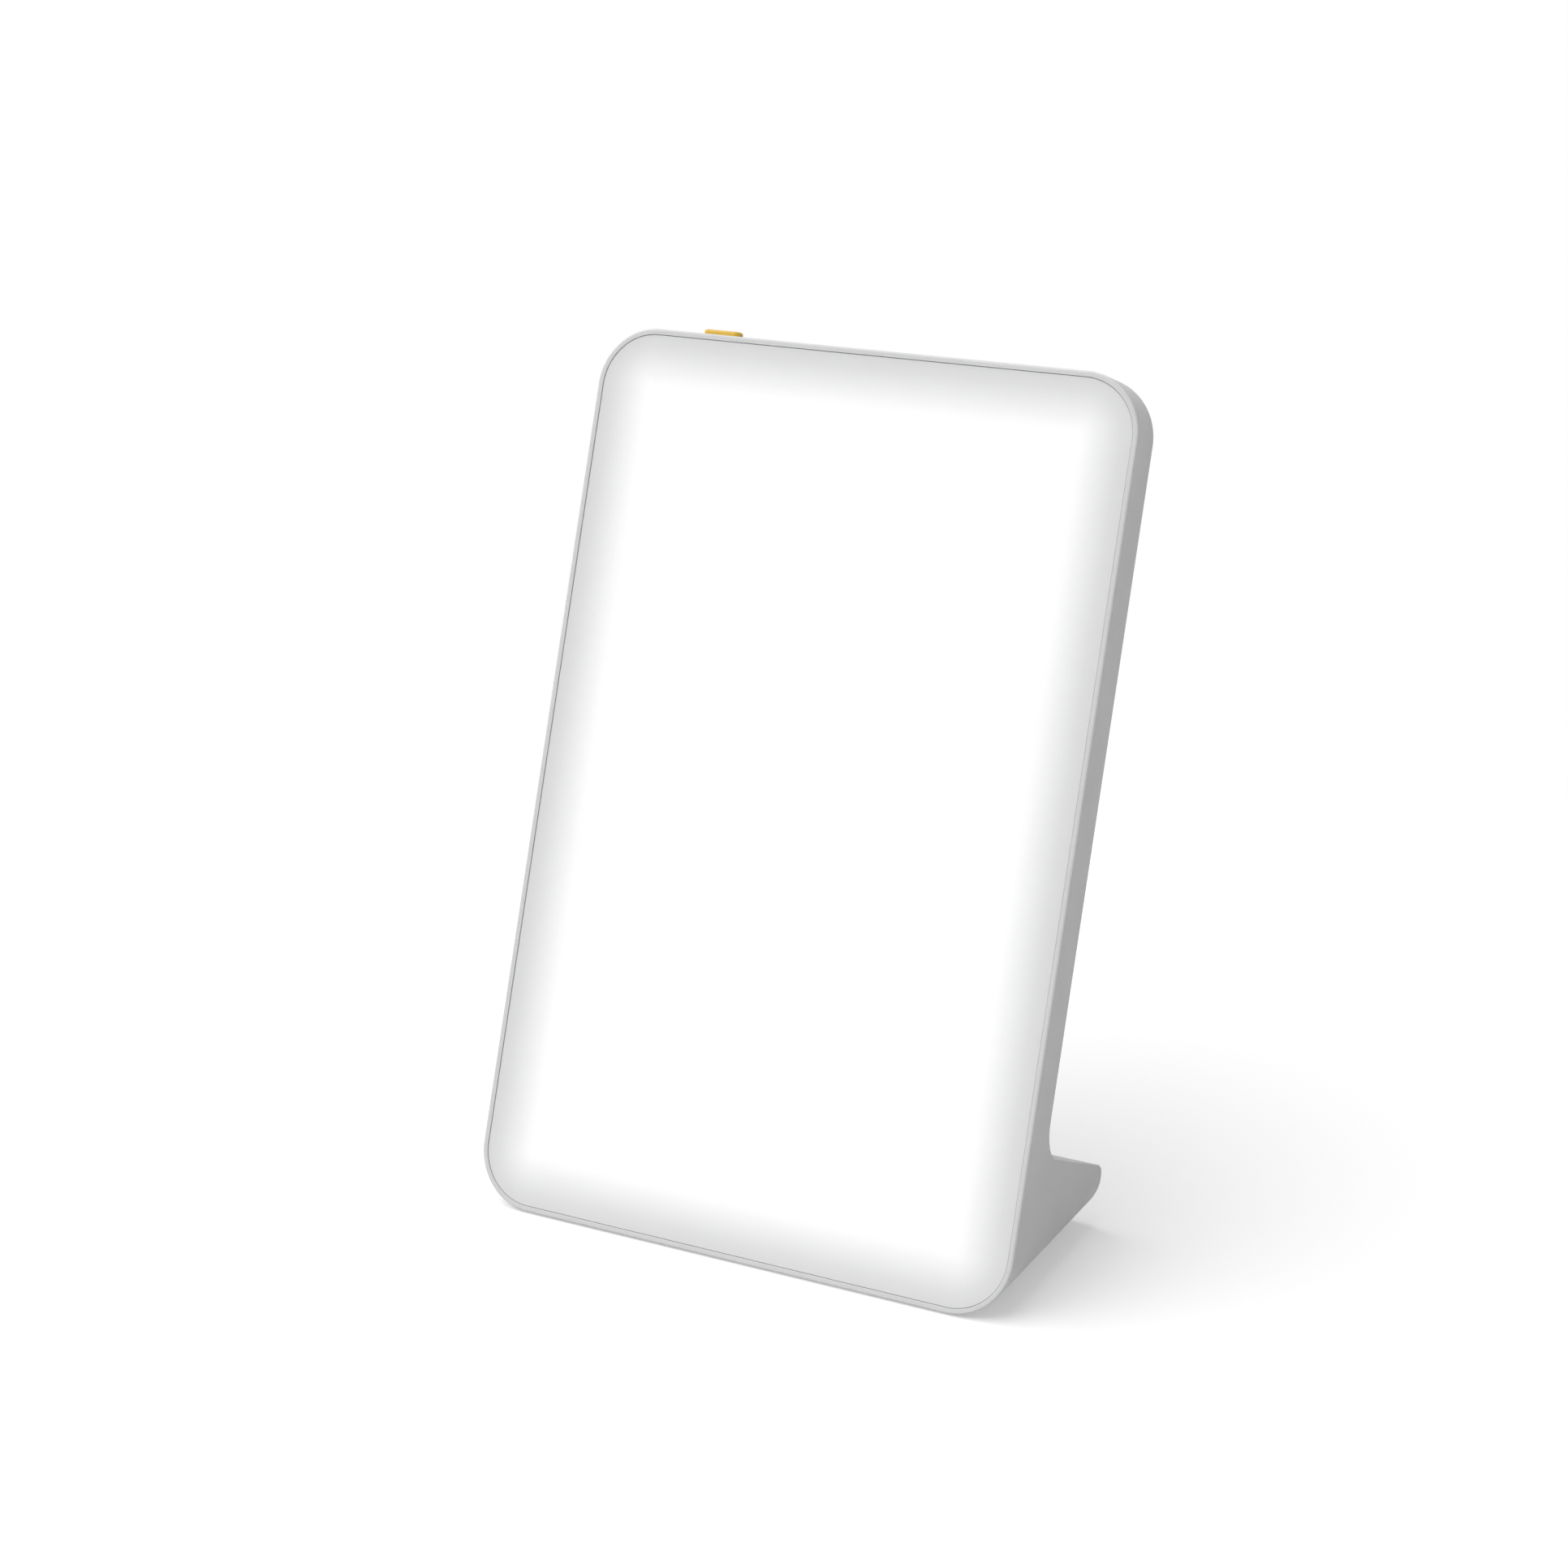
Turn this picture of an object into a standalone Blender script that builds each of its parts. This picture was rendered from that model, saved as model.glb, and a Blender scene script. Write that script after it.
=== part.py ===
"""Light therapy lamp: a leaning light panel whose moulded casing runs down into its foot.

Metres, +Z up. The lamp faces -Y. Its origin is on the table, under the middle of its bounding box.
Panel places are given as across (X), rise (up the slope from the bottom edge) and depth (in from the
front face).
"""
import math

import bmesh
import bpy
from mathutils import Matrix, Vector

# Panel and foot
PANEL_WIDTH = 0.250
PANEL_LENGTH = 0.3845
PANEL_THICK = 0.01875
LEAN = math.radians(19)
CORNER_RADIUS = 0.026
FOOT_LENGTH = 0.103
FOOT_REAR_HEIGHT = 0.02735
FOOT_SLOPE = math.radians(25.4)
FOOT_REAR_RADIUS = 0.005
NECK_RADIUS = 0.0165
EDGE_RADIUS = 0.001
WALL = 0.0025
BOTTOM_WALL = 0.004
GAP = 0.0003
OVERRUN = 0.002
ARC_STEP = math.radians(11.25)
SMALL_ARC_STEP = math.radians(45)
ROUND_SIDES = 12
SHARP_ANGLE = math.radians(30)
FLAT_ANGLE = math.radians(0.1)

# Diffuser and the ledge that it is bonded to
DIFFUSER_THICK = 0.0025
DIFFUSER_SET_BACK = 0.0003
GASKET_THICK = 0.0005
GASKET_MARGIN = 0.0006
LEDGE_THICK = 0.0015
LEDGE_WIDTH = 0.0065

# Reflector tray
SHEET_THICK = 0.0006
TRAY_MARGIN = 0.0072
TRAY_MOUTH_INSET = 0.020
TRAY_FLOOR_INSET = 0.024
TRAY_DEPTH = 0.005
TRAY_CORNER_RADIUS = 0.004

# LED strips
STRIP_COUNT = 6
STRIP_OVERHANG = 0.005
STRIP_HEIGHT = 0.010
STRIP_THICK = 0.001
CHIP_COUNT = 10
CHIP_LENGTH = 0.0035
CHIP_HEIGHT = 0.0028
CHIP_THICK = 0.0008
SLOT_MARGIN = 0.0012
JUMPER_RADIUS = 0.0005
JUMPER_INSET = 0.0012
JUMPER_BOW = 0.0025
JUMPER_STEPS = 1
SPREADER_THICK = 0.001
SPREADER_SIDE_MARGIN = 0.007
SPREADER_END_MARGIN = 0.021

# Screw bosses that stand in from the side and top walls
BOSS_RADIUS = 0.0035
BOSS_CLEARANCE = 0.0006
PILOT_RADIUS = 0.0018
PILOT_DEPTH = 0.007
SPREADER_BOSS_INSET = 0.0105
SPREADER_BOSS_RISE_SHARES = (0.13, 0.86)
COVER_BOSS_INSET = 0.0075
COVER_BOSS_RISE_SHARES = (0.28, 0.64)
COVER_BOSS_SIDE_INSET = 0.030

# Rear cover and the ledge that it lies on
COVER_THICK = 0.0022
COVER_BOTTOM_RISE = 0.088
COVER_CORNER_RADIUS = 0.003
REAR_LEDGE_THICK = 0.0015
REAR_LEDGE_WIDTH = 0.004
VENT_LENGTH = 0.022
VENT_HEIGHT = 0.002
VENT_PITCH = 0.030
VENT_ROW_PITCH = 0.006
VENT_COLUMNS = 5
VENT_ROWS = 3
VENT_RISE_SHARES = (0.33, 0.88)

# Base plate and feet
BASE_THICK = 0.002
BASE_FRONT_MARGIN = 0.012
BASE_REAR_MARGIN = 0.007
BASE_SIDE_MARGIN = 0.004
BASE_CORNER_RADIUS = 0.005
BASE_LIP_WIDTH = 0.004
BASE_BOSS_INSET = 0.006
BASE_BOSS_HEIGHT = 0.008
RUBBER_RADIUS = 0.006
RUBBER_PROUD = 0.0008
RUBBER_POCKET = 0.0009
RUBBER_INSET = 0.017
RUBBER_EDGE_RADIUS = 0.0003

# Power button and its switch
BUTTON_LENGTH = 0.018
BUTTON_DEPTH = 0.006
BUTTON_PROUD = 0.0028
BUTTON_EDGE_RADIUS = 0.0011
BUTTON_SIDE_INSET = 0.0525
BUTTON_AXIS_DEPTH = 0.0096
BUTTON_TRAVEL = 0.0008
BUTTON_CLEARANCE = 0.0003
FLANGE_THICK = 0.0015
FLANGE_REACH = 0.0018
POST_WIDTH = 0.004
POST_LENGTH = 0.0034
PLUNGER_RADIUS = 0.00175
PLUNGER_SPARE = 0.0012
PLUNGER_LENGTH = 0.0045
SWITCH_WIDTH = 0.006
SWITCH_HEIGHT = 0.005
SWITCH_DEPTH = 0.0056
SWITCH_BORE_SPARE = 0.0007
SWITCH_BOARD_THICK = 0.0012
SWITCH_BOARD_HEIGHT = 0.013
SWITCH_BOARD_HALF_WIDTH = 0.0175
SWITCH_BOSS_RADIUS = 0.0025
SWITCH_BOSS_REACH = 0.0145
SWITCH_BOSS_INSET = 0.013
SWITCH_SEAT_DEPTH = 0.0127

# Screws
SCREW_HEAD_RADIUS = 0.0028
SCREW_HEAD_HEIGHT = 0.001
SCREW_SHANK_RADIUS = 0.0015
SCREW_LENGTH = 0.006
COUNTERBORE_RADIUS = 0.0032
COUNTERBORE_DEPTH = 0.0014
SHORT_SCREW_LENGTH = 0.0045
SMALL_HEAD_RADIUS = 0.002
SMALL_SHANK_RADIUS = 0.001
SMALL_PILOT_RADIUS = 0.0013
SCREW_SIDES = 8

# Driver board in the foot
BOARD_LENGTH = 0.100
BOARD_WIDTH = 0.046
BOARD_THICK = 0.0016
BOARD_REAR_CLEARANCE = 0.0072
STANDOFF_RADIUS = 0.003
STANDOFF_HEIGHT = 0.0045
STANDOFF_INSET = 0.008
CAPACITOR_RADIUS = 0.004
CAPACITOR_HEIGHT = 0.0115
CAPACITOR_ACROSS_SHARES = (0.16, 0.30)
CAPACITOR_ALONG_SHARE = 0.55
INDUCTOR_SIZE = 0.012
INDUCTOR_HEIGHT = 0.007
INDUCTOR_CORNER_RADIUS = 0.003
INDUCTOR_ACROSS_SHARE = -0.22
INDUCTOR_ALONG_SHARE = 0.62
CHIP_BODY_LENGTH = 0.005
CHIP_BODY_WIDTH = 0.004
CHIP_BODY_HEIGHT = 0.0015
CHIP_BODY_ALONG_SHARE = 0.45
CONNECTOR_LENGTH = 0.0075
CONNECTOR_WIDTH = 0.0055
CONNECTOR_HEIGHT = 0.006
CONNECTOR_ACROSS_SHARE = 0.30
CONNECTOR_ALONG_SHARE = 0.1
CABLE_RADIUS = 0.0011
CABLE_LIFT = 0.004
CABLE_SIDE_INSET = 0.0175
CABLE_DEPTH = 0.0098
CABLE_FLOOR_HEIGHT = 0.009
CABLE_TURN = 0.006
CABLE_STEPS = 5
SWITCH_CABLE_RISE_SHARES = (0.33, 0.67)

# Inlet
JACK_WIDTH = 0.009
JACK_HEIGHT = 0.011
JACK_LENGTH = 0.0135
JACK_BORE_RADIUS = 0.0032
JACK_BORE_DEPTH = 0.0095
JACK_PIN_RADIUS = 0.001
JACK_PIN_LENGTH = 0.009
WELL_RADIUS = 0.006
WELL_DEPTH = 0.005
WELL_WALL = 0.0015
WELL_HOLE_RADIUS = 0.004

HALF_WIDTH = PANEL_WIDTH / 2
BUTTON_ACROSS = BUTTON_SIDE_INSET - HALF_WIDTH
RISE_UP = math.cos(LEAN)
RISE_BACK = math.sin(LEAN)
LAMP_DEPTH = PANEL_LENGTH * RISE_BACK + PANEL_THICK * RISE_UP

# Depths of the stacked sheets, from the front face inwards
DIFFUSER_BACK = DIFFUSER_SET_BACK + DIFFUSER_THICK
GASKET_FRONT = DIFFUSER_BACK + GAP
LEDGE_FRONT = GASKET_FRONT + GASKET_THICK + GAP
LEDGE_BACK = LEDGE_FRONT + LEDGE_THICK
TRAY_FRONT = LEDGE_BACK + GAP
TRAY_BACK = TRAY_FRONT + TRAY_DEPTH + SHEET_THICK
STRIP_FRONT = TRAY_BACK + GAP
STRIP_BACK = STRIP_FRONT + STRIP_THICK
SPREADER_FRONT = STRIP_BACK + GAP
SPREADER_BACK = SPREADER_FRONT + SPREADER_THICK
COVER_FRONT = PANEL_THICK - COVER_THICK
REAR_LEDGE_BACK = COVER_FRONT - GAP
REAR_LEDGE_FRONT = REAR_LEDGE_BACK - REAR_LEDGE_THICK
LEDGE_INSET = WALL + LEDGE_WIDTH

# The strips run past the ends of the tray's floor, and the plunger past the button's travel
STRIP_LENGTH = PANEL_WIDTH - 2 * (TRAY_FLOOR_INSET - STRIP_OVERHANG)
PLUNGER_PROUD = PLUNGER_SPARE + BUTTON_TRAVEL
SWITCH_BORE_DEPTH = PLUNGER_LENGTH - PLUNGER_SPARE + SWITCH_BORE_SPARE

# Heights in the foot, from the casing's underside
BASE_TOP = BASE_THICK
BASE_LIP_BOTTOM = BASE_TOP + GAP
BOARD_BOTTOM = BASE_TOP + STANDOFF_HEIGHT + GAP
BOARD_TOP = BOARD_BOTTOM + BOARD_THICK
JACK_BOTTOM = BOARD_TOP + GAP
JACK_CENTRE = JACK_BOTTOM + JACK_HEIGHT / 2
BASE_HALF_WIDTH = HALF_WIDTH - CORNER_RADIUS - BASE_SIDE_MARGIN
BASE_REAR = FOOT_LENGTH - BASE_REAR_MARGIN
BOARD_REAR = FOOT_LENGTH - BOARD_REAR_CLEARANCE
BOARD_FRONT = BOARD_REAR - BOARD_WIDTH


def new_collection(name):
    collection = bpy.data.collections.new(name)
    bpy.context.scene.collection.children.link(collection)
    return collection


def material(name, colour, roughness, metallic=0.0, glow=0.0):
    made = bpy.data.materials.new(name)
    made.use_nodes = True
    shader = made.node_tree.nodes["Principled BSDF"]
    shader.inputs["Base Color"].default_value = (*colour, 1)
    shader.inputs["Roughness"].default_value = roughness
    shader.inputs["Metallic"].default_value = metallic
    shader.inputs["Emission Color"].default_value = (*colour, 1)
    shader.inputs["Emission Strength"].default_value = glow
    return made


def frame(name, location, turn, parent=None):
    empty = bpy.data.objects.new(name, None)
    parts.objects.link(empty)
    empty.parent = parent
    empty.location = location
    empty.rotation_euler = turn
    return empty


def closed_mesh(mesh):
    """Weld a mesh's loose caps, join the triangles of its flat faces and turn its faces outwards."""
    form = bmesh.new()
    form.from_mesh(mesh)
    bmesh.ops.remove_doubles(form, verts=form.verts, dist=GAP / 100)
    bmesh.ops.dissolve_limit(form, angle_limit=FLAT_ANGLE, verts=form.verts, edges=form.edges)
    bmesh.ops.recalc_face_normals(form, faces=form.faces)
    form.to_mesh(mesh)
    form.free()
    return mesh


def place(name, mesh, parent, location=(0, 0, 0), skin=None, turn=(0, 0, 0)):
    """Make an object of a mesh; without a skin material it is a cutter."""
    obj = bpy.data.objects.new(name, mesh)
    obj.parent = parent
    obj.location = location
    obj.rotation_euler = turn
    if skin:
        parts.objects.link(obj)
        mesh.materials.clear()
        mesh.materials.append(skin)
        mesh.shade_smooth()
        mesh.set_sharp_from_angle(angle=SHARP_ANGLE)
    else:
        cutters.objects.link(obj)
        obj.hide_render = True
        obj.display_type = "WIRE"
    return obj


def from_curve(name, curve, parent, location=(0, 0, 0), skin=None):
    """Turn a curve object into a closed mesh object at the same place."""
    guide = bpy.data.objects.new(name, curve)
    cutters.objects.link(guide)
    bpy.context.view_layer.update()
    evaluated = guide.evaluated_get(bpy.context.evaluated_depsgraph_get())
    mesh = closed_mesh(bpy.data.meshes.new_from_object(evaluated))
    bpy.data.objects.remove(guide)
    mesh.name = name
    return place(name, mesh, parent, location, skin)


def extruded(name, loops, parent, low, high, skin=None):
    """Extrude flat outlines, with any holes, from low to high along the parent's Z."""
    curve = bpy.data.curves.new(name, "CURVE")
    curve.dimensions = "2D"
    curve.fill_mode = "BOTH"
    curve.extrude = (high - low) / 2
    for loop in loops:
        spline = curve.splines.new("POLY")
        spline.points.add(len(loop) - 1)
        for point, (x, y) in zip(spline.points, loop):
            point.co = (x, y, 0, 1)
        spline.use_cyclic_u = True
    return from_curve(name, curve, parent, (0, 0, (low + high) / 2), skin)


def tube(name, run, radius, parent, skin):
    """A round wire along a run of points."""
    curve = bpy.data.curves.new(name, "CURVE")
    curve.dimensions = "3D"
    curve.bevel_depth = radius
    curve.bevel_resolution = 2
    curve.use_fill_caps = True
    spline = curve.splines.new("POLY")
    spline.points.add(len(run) - 1)
    for point, place_on_run in zip(spline.points, run):
        point.co = (*place_on_run, 1)
    return from_curve(name, curve, parent, skin=skin)


def smooth_run(knots, steps):
    """Points of a smooth curve through the knots."""
    knots = [Vector(knot) for knot in knots]
    ends = [2 * knots[0] - knots[1], *knots, 2 * knots[-1] - knots[-2]]
    points = []
    for before, start, stop, after in zip(ends, ends[1:], ends[2:], ends[3:]):
        for step in range(steps):
            t = step / steps
            points.append(0.5 * (2 * start + (stop - before) * t
                                 + (2 * before - 5 * start + 4 * stop - after) * t ** 2
                                 + (3 * start - before - 3 * stop + after) * t ** 3))
    return [*points, knots[-1]]


def rounded(corners, arc_step=ARC_STEP):
    """Points of a closed outline whose (x, y, radius) corners are rounded by arcs."""
    points = []
    for index, (x, y, radius) in enumerate(corners):
        corner = Vector((x, y))
        if not radius:
            points.append(corner)
            continue
        back = (Vector(corners[index - 1][:2]) - corner).normalized()
        ahead = (Vector(corners[(index + 1) % len(corners)][:2]) - corner).normalized()
        half_angle = back.angle(ahead) / 2
        centre = corner + (back + ahead).normalized() * radius / math.sin(half_angle)
        start = corner + back * radius / math.tan(half_angle) - centre
        stop = corner + ahead * radius / math.tan(half_angle) - centre
        steps = max(2, math.ceil(start.angle(stop) / arc_step))
        turn = -start.angle_signed(stop)
        for step in range(steps + 1):
            points.append(centre + Matrix.Rotation(turn * step / steps, 2) @ start)
    return [point for before, point in zip([points[-1], *points], points)
            if (point - before).length > GAP / 100]


def inset(corners, amounts):
    """Move each side of an anticlockwise outline inwards, with its corner radii following.

    Side i runs from corner i to the next one."""
    moved = []
    for index, (x, y, radius) in enumerate(corners):
        here = Vector((x, y))
        along_before = (here - Vector(corners[index - 1][:2])).normalized()
        along_after = (Vector(corners[(index + 1) % len(corners)][:2]) - here).normalized()
        inward_before = Vector((-along_before.y, along_before.x))
        inward_after = Vector((-along_after.y, along_after.x))
        bend = along_before.cross(along_after)
        shift_before = amounts[index - 1]
        shift_after = amounts[index]
        shift = (along_after * shift_before - along_before * shift_after) / bend
        radius_change = (shift_before + shift_after) / 2
        new_radius = radius and (radius - radius_change if bend > 0 else radius + radius_change)
        moved.append((*(here + shift), max(new_radius, 0)))
    return moved


def rectangle(left, right, low, high, low_radius=0.0, high_radius=0.0):
    """Anticlockwise corners of a rectangle with rounded lower and upper corners."""
    return [(left, low, low_radius), (right, low, low_radius), (right, high, high_radius),
            (left, high, high_radius)]


def disc(x, y, radius, sides=ROUND_SIDES):
    turns = [2 * math.pi * index / sides for index in range(sides)]
    return [(x + radius * math.cos(turn), y + radius * math.sin(turn)) for turn in turns]


def modify(obj, cutter, operation):
    cut = obj.modifiers.new(cutter.name, "BOOLEAN")
    cut.operation = operation
    cut.solver = "EXACT"
    cut.object = cutter
    return obj


def round_edges(obj, width, segments=2):
    bevel = obj.modifiers.new("rounded edges", "BEVEL")
    bevel.width = width
    bevel.segments = segments
    bevel.limit_method = "ANGLE"
    bevel.angle_limit = SHARP_ANGLE
    return obj


def screw_mesh(head_radius, head_height, shank_radius, length):
    """A screw turned about Z: its head stands on the XY plane and its shank points down."""
    edge = head_height / 3
    profile = [(0, head_height), (head_radius - edge, head_height), (head_radius, head_height - edge),
               (head_radius, 0), (shank_radius, 0), (shank_radius, shank_radius - length), (0, -length)]
    form = bmesh.new()
    verts = [form.verts.new((x, 0, z)) for x, z in profile]
    for pair in zip(verts, verts[1:]):
        form.edges.new(pair)
    mesh = bpy.data.meshes.new("screw profile")
    form.to_mesh(mesh)
    form.free()
    guide = bpy.data.objects.new("screw profile", mesh)
    cutters.objects.link(guide)
    turned = guide.modifiers.new("turned", "SCREW")
    turned.steps = SCREW_SIDES
    turned.render_steps = SCREW_SIDES
    turned.use_merge_vertices = True
    turned.merge_threshold = GAP / 100
    bpy.context.view_layer.update()
    evaluated = guide.evaluated_get(bpy.context.evaluated_depsgraph_get())
    screw = closed_mesh(bpy.data.meshes.new_from_object(evaluated))
    bpy.data.objects.remove(guide)
    return screw


def side_corners():
    """The casing's side outline, as (back, up): front edge, top, neck and foot, anticlockwise."""
    top_front = Vector((PANEL_LENGTH * RISE_BACK, PANEL_LENGTH * RISE_UP))
    top_rear = top_front + PANEL_THICK * Vector((RISE_UP, -RISE_BACK))
    foot_rise = math.tan(FOOT_SLOPE)
    foot_top_at_front = FOOT_REAR_HEIGHT + foot_rise * FOOT_LENGTH
    rear_face_offset = PANEL_THICK / RISE_UP
    neck_height = (foot_top_at_front - foot_rise * rear_face_offset) / (1 + foot_rise * math.tan(LEAN))
    neck_back = rear_face_offset + neck_height * math.tan(LEAN)
    return [(0, 0, 0), (FOOT_LENGTH, 0, 0), (FOOT_LENGTH, FOOT_REAR_HEIGHT, FOOT_REAR_RADIUS),
            (neck_back, neck_height, NECK_RADIUS), (*top_rear, 0), (*top_front, 0)]


def envelope(name, walls, skin=None):
    """The casing's form with its walls moved in: bottom, foot rear, foot top, panel rear, top and front.

    The side outline is widened past the sides, then cut to the round lower corners, which run straight
    back, and to the round upper corners, which run square to the panel."""
    side = walls["side"]
    radius = CORNER_RADIUS - side
    half = HALF_WIDTH - side
    amounts = [walls[key] for key in ("bottom", "foot rear", "foot top", "panel rear", "top", "front")]
    outline = rounded(inset(side_corners(), amounts))
    form = extruded(name, [outline], side_frame, -HALF_WIDTH - OVERRUN, HALF_WIDTH + OVERRUN, skin)
    reach = PANEL_LENGTH + FOOT_LENGTH
    lower = rounded(rectangle(-half, half, walls["bottom"] / RISE_UP, reach, radius))
    lower = [(x, rise * RISE_UP) for x, rise in lower]
    upper = rounded(rectangle(-half, half, -OVERRUN, PANEL_LENGTH - walls["top"], 0, radius))
    modify(form, extruded(name + " lower corners", [lower], front_frame, -reach, reach), "INTERSECT")
    modify(form, extruded(name + " upper corners", [upper], panel_frame, -reach, reach), "INTERSECT")
    return form


def tongue(tip_across, rise, radius, side):
    """Outline of a boss that reaches in from the side wall: side is 1 or -1."""
    root = side * (HALF_WIDTH - WALL / 2)
    tip = tip_across + side * -radius
    corners = [(root, rise - radius, 0), (root, rise + radius, 0), (tip, rise + radius, radius),
               (tip, rise - radius, radius)]
    return rounded(corners if side > 0 else corners[::-1], SMALL_ARC_STEP)


def hanging_tongue(across, tip_rise, radius):
    """Outline of a boss that reaches down from the top wall."""
    low = tip_rise - radius
    return rounded(rectangle(across - radius, across + radius, low, PANEL_LENGTH - WALL / 2, radius),
                   SMALL_ARC_STEP)


def spreader_bosses():
    across = HALF_WIDTH - SPREADER_BOSS_INSET
    return [(side * across, share * PANEL_LENGTH, side) for share in SPREADER_BOSS_RISE_SHARES
            for side in (-1, 1)]


def cover_side_bosses():
    across = HALF_WIDTH - COVER_BOSS_INSET
    return [(side * across, share * PANEL_LENGTH, side) for share in COVER_BOSS_RISE_SHARES
            for side in (-1, 1)]


def cover_top_bosses():
    across = HALF_WIDTH - COVER_BOSS_SIDE_INSET
    return [(side * across, PANEL_LENGTH - COVER_BOSS_INSET) for side in (-1, 1)]


def switch_bosses():
    rise = PANEL_LENGTH - SWITCH_BOSS_INSET
    return [(BUTTON_ACROSS + side * SWITCH_BOSS_REACH, rise) for side in (-1, 1)]


def base_bosses():
    across = BASE_HALF_WIDTH - BASE_BOSS_INSET
    return [(side * across, back) for side in (-1, 1)
            for back in (BASE_FRONT_MARGIN + BASE_BOSS_INSET, BASE_REAR - BASE_BOSS_INSET)]


def standoffs():
    across = BOARD_LENGTH / 2 - STANDOFF_INSET
    return [(side * across, back) for side in (-1, 1)
            for back in (BOARD_FRONT + STANDOFF_INSET, BOARD_REAR - STANDOFF_INSET)]


def feet():
    across = BASE_HALF_WIDTH - RUBBER_INSET
    front = BASE_FRONT_MARGIN + RUBBER_INSET / 2
    return [(side * across, back) for back in (front, BASE_REAR - RUBBER_INSET / 2) for side in (-1, 1)]


def stadium(length, depth, margin=0.0, arc_step=ARC_STEP):
    radius = depth / 2 + margin
    half = length / 2 + margin
    return rounded([(-half, -radius, radius), (half, -radius, radius), (half, radius, radius),
                    (-half, radius, radius)], arc_step)


def outer_housing():
    """The moulded casing: front rim and ledge, side walls, foot, bosses, and its openings."""
    solid = dict.fromkeys(("bottom", "foot rear", "foot top", "panel rear", "top", "front", "side"), 0)
    housing = envelope("outer_housing", solid, shell_plastic)
    round_edges(housing, EDGE_RADIUS)
    hollow = {"bottom": BOTTOM_WALL, "foot rear": WALL, "foot top": WALL, "top": WALL, "side": WALL,
              "panel rear": PANEL_THICK - REAR_LEDGE_FRONT, "front": LEDGE_BACK}
    modify(housing, envelope("hollow", hollow), "DIFFERENCE")
    window = rounded(inset(front_corners(), [LEDGE_INSET] * 4))
    modify(housing, extruded("front window", [window], panel_frame, -LEDGE_BACK - OVERRUN, OVERRUN),
           "DIFFERENCE")
    rebate = rounded(inset(front_corners(), [WALL] * 4))
    modify(housing, extruded("diffuser rebate", [rebate], panel_frame, -LEDGE_FRONT, OVERRUN), "DIFFERENCE")
    housing.modifiers.new("split ring faces", "TRIANGULATE")
    rear_window = rounded(cover_corners(REAR_LEDGE_WIDTH))
    modify(housing, extruded("rear window", [rear_window], panel_frame, -PANEL_THICK - OVERRUN,
                             OVERRUN - REAR_LEDGE_FRONT), "DIFFERENCE")
    add_panel_bosses(housing)
    recess = rounded(cover_corners(0))
    modify(housing, extruded("cover recess", [recess], panel_frame, -PANEL_THICK - OVERRUN, -REAR_LEDGE_BACK),
           "DIFFERENCE")
    cut_panel_pilots(housing)
    cut_base_opening(housing)
    cut_inlet(housing)
    hole = stadium(BUTTON_LENGTH, BUTTON_DEPTH, BUTTON_CLEARANCE)
    modify(housing, extruded("button hole", [hole], button_frame, -WALL - OVERRUN, OVERRUN), "DIFFERENCE")


def front_corners():
    return rectangle(-HALF_WIDTH, HALF_WIDTH, 0, PANEL_LENGTH, CORNER_RADIUS, CORNER_RADIUS)


def cover_corners(margin):
    """The rear cover's recess: inside the walls at the sides and top, square at its bottom."""
    edge = WALL + margin
    return rectangle(edge - HALF_WIDTH, HALF_WIDTH - edge, COVER_BOTTOM_RISE + margin, PANEL_LENGTH - edge,
                     COVER_CORNER_RADIUS, CORNER_RADIUS - edge)


def add_panel_bosses(housing):
    """Bosses for the heat spreader, the rear cover and the switch board.

    The cover's bosses reach past their seat, where the cover's recess then cuts them level."""
    root = -LEDGE_FRONT - LEDGE_THICK / 2
    tongues = [tongue(x, rise, BOSS_RADIUS, side) for x, rise, side in spreader_bosses()]
    modify(housing, extruded("spreader bosses", tongues, panel_frame, GAP - SPREADER_FRONT, root), "UNION")
    tongues = [tongue(x, rise, BOSS_RADIUS, side) for x, rise, side in cover_side_bosses()]
    tongues += [hanging_tongue(x, rise, BOSS_RADIUS) for x, rise in cover_top_bosses()]
    modify(housing, extruded("cover bosses", tongues, panel_frame, -COVER_FRONT - COVER_THICK / 2, root),
           "UNION")
    tongues = [hanging_tongue(x, rise, SWITCH_BOSS_RADIUS) for x, rise in switch_bosses()]
    modify(housing, extruded("switch bosses", tongues, panel_frame, -SWITCH_SEAT_DEPTH, root), "UNION")


def cut_panel_pilots(housing):
    seat = SPREADER_FRONT - GAP
    holes = [disc(x, rise, PILOT_RADIUS) for x, rise, side in spreader_bosses()]
    modify(housing, extruded("spreader pilots", holes, panel_frame, -seat - OVERRUN, PILOT_DEPTH - seat),
           "DIFFERENCE")
    holes = [disc(x, rise, PILOT_RADIUS) for x, rise, side in cover_side_bosses()]
    holes += [disc(x, rise, PILOT_RADIUS) for x, rise in cover_top_bosses()]
    modify(housing, extruded("cover pilots", holes, panel_frame, -REAR_LEDGE_BACK - OVERRUN,
                             PILOT_DEPTH - REAR_LEDGE_BACK), "DIFFERENCE")
    holes = [disc(x, rise, SMALL_PILOT_RADIUS) for x, rise in switch_bosses()]
    modify(housing, extruded("switch pilots", holes, panel_frame, -SWITCH_SEAT_DEPTH - OVERRUN,
                             SHORT_SCREW_LENGTH - SWITCH_SEAT_DEPTH), "DIFFERENCE")


def base_outline(margin):
    return rectangle(margin - BASE_HALF_WIDTH, BASE_HALF_WIDTH - margin, BASE_FRONT_MARGIN + margin,
                     BASE_REAR - margin, BASE_CORNER_RADIUS, BASE_CORNER_RADIUS)


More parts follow.
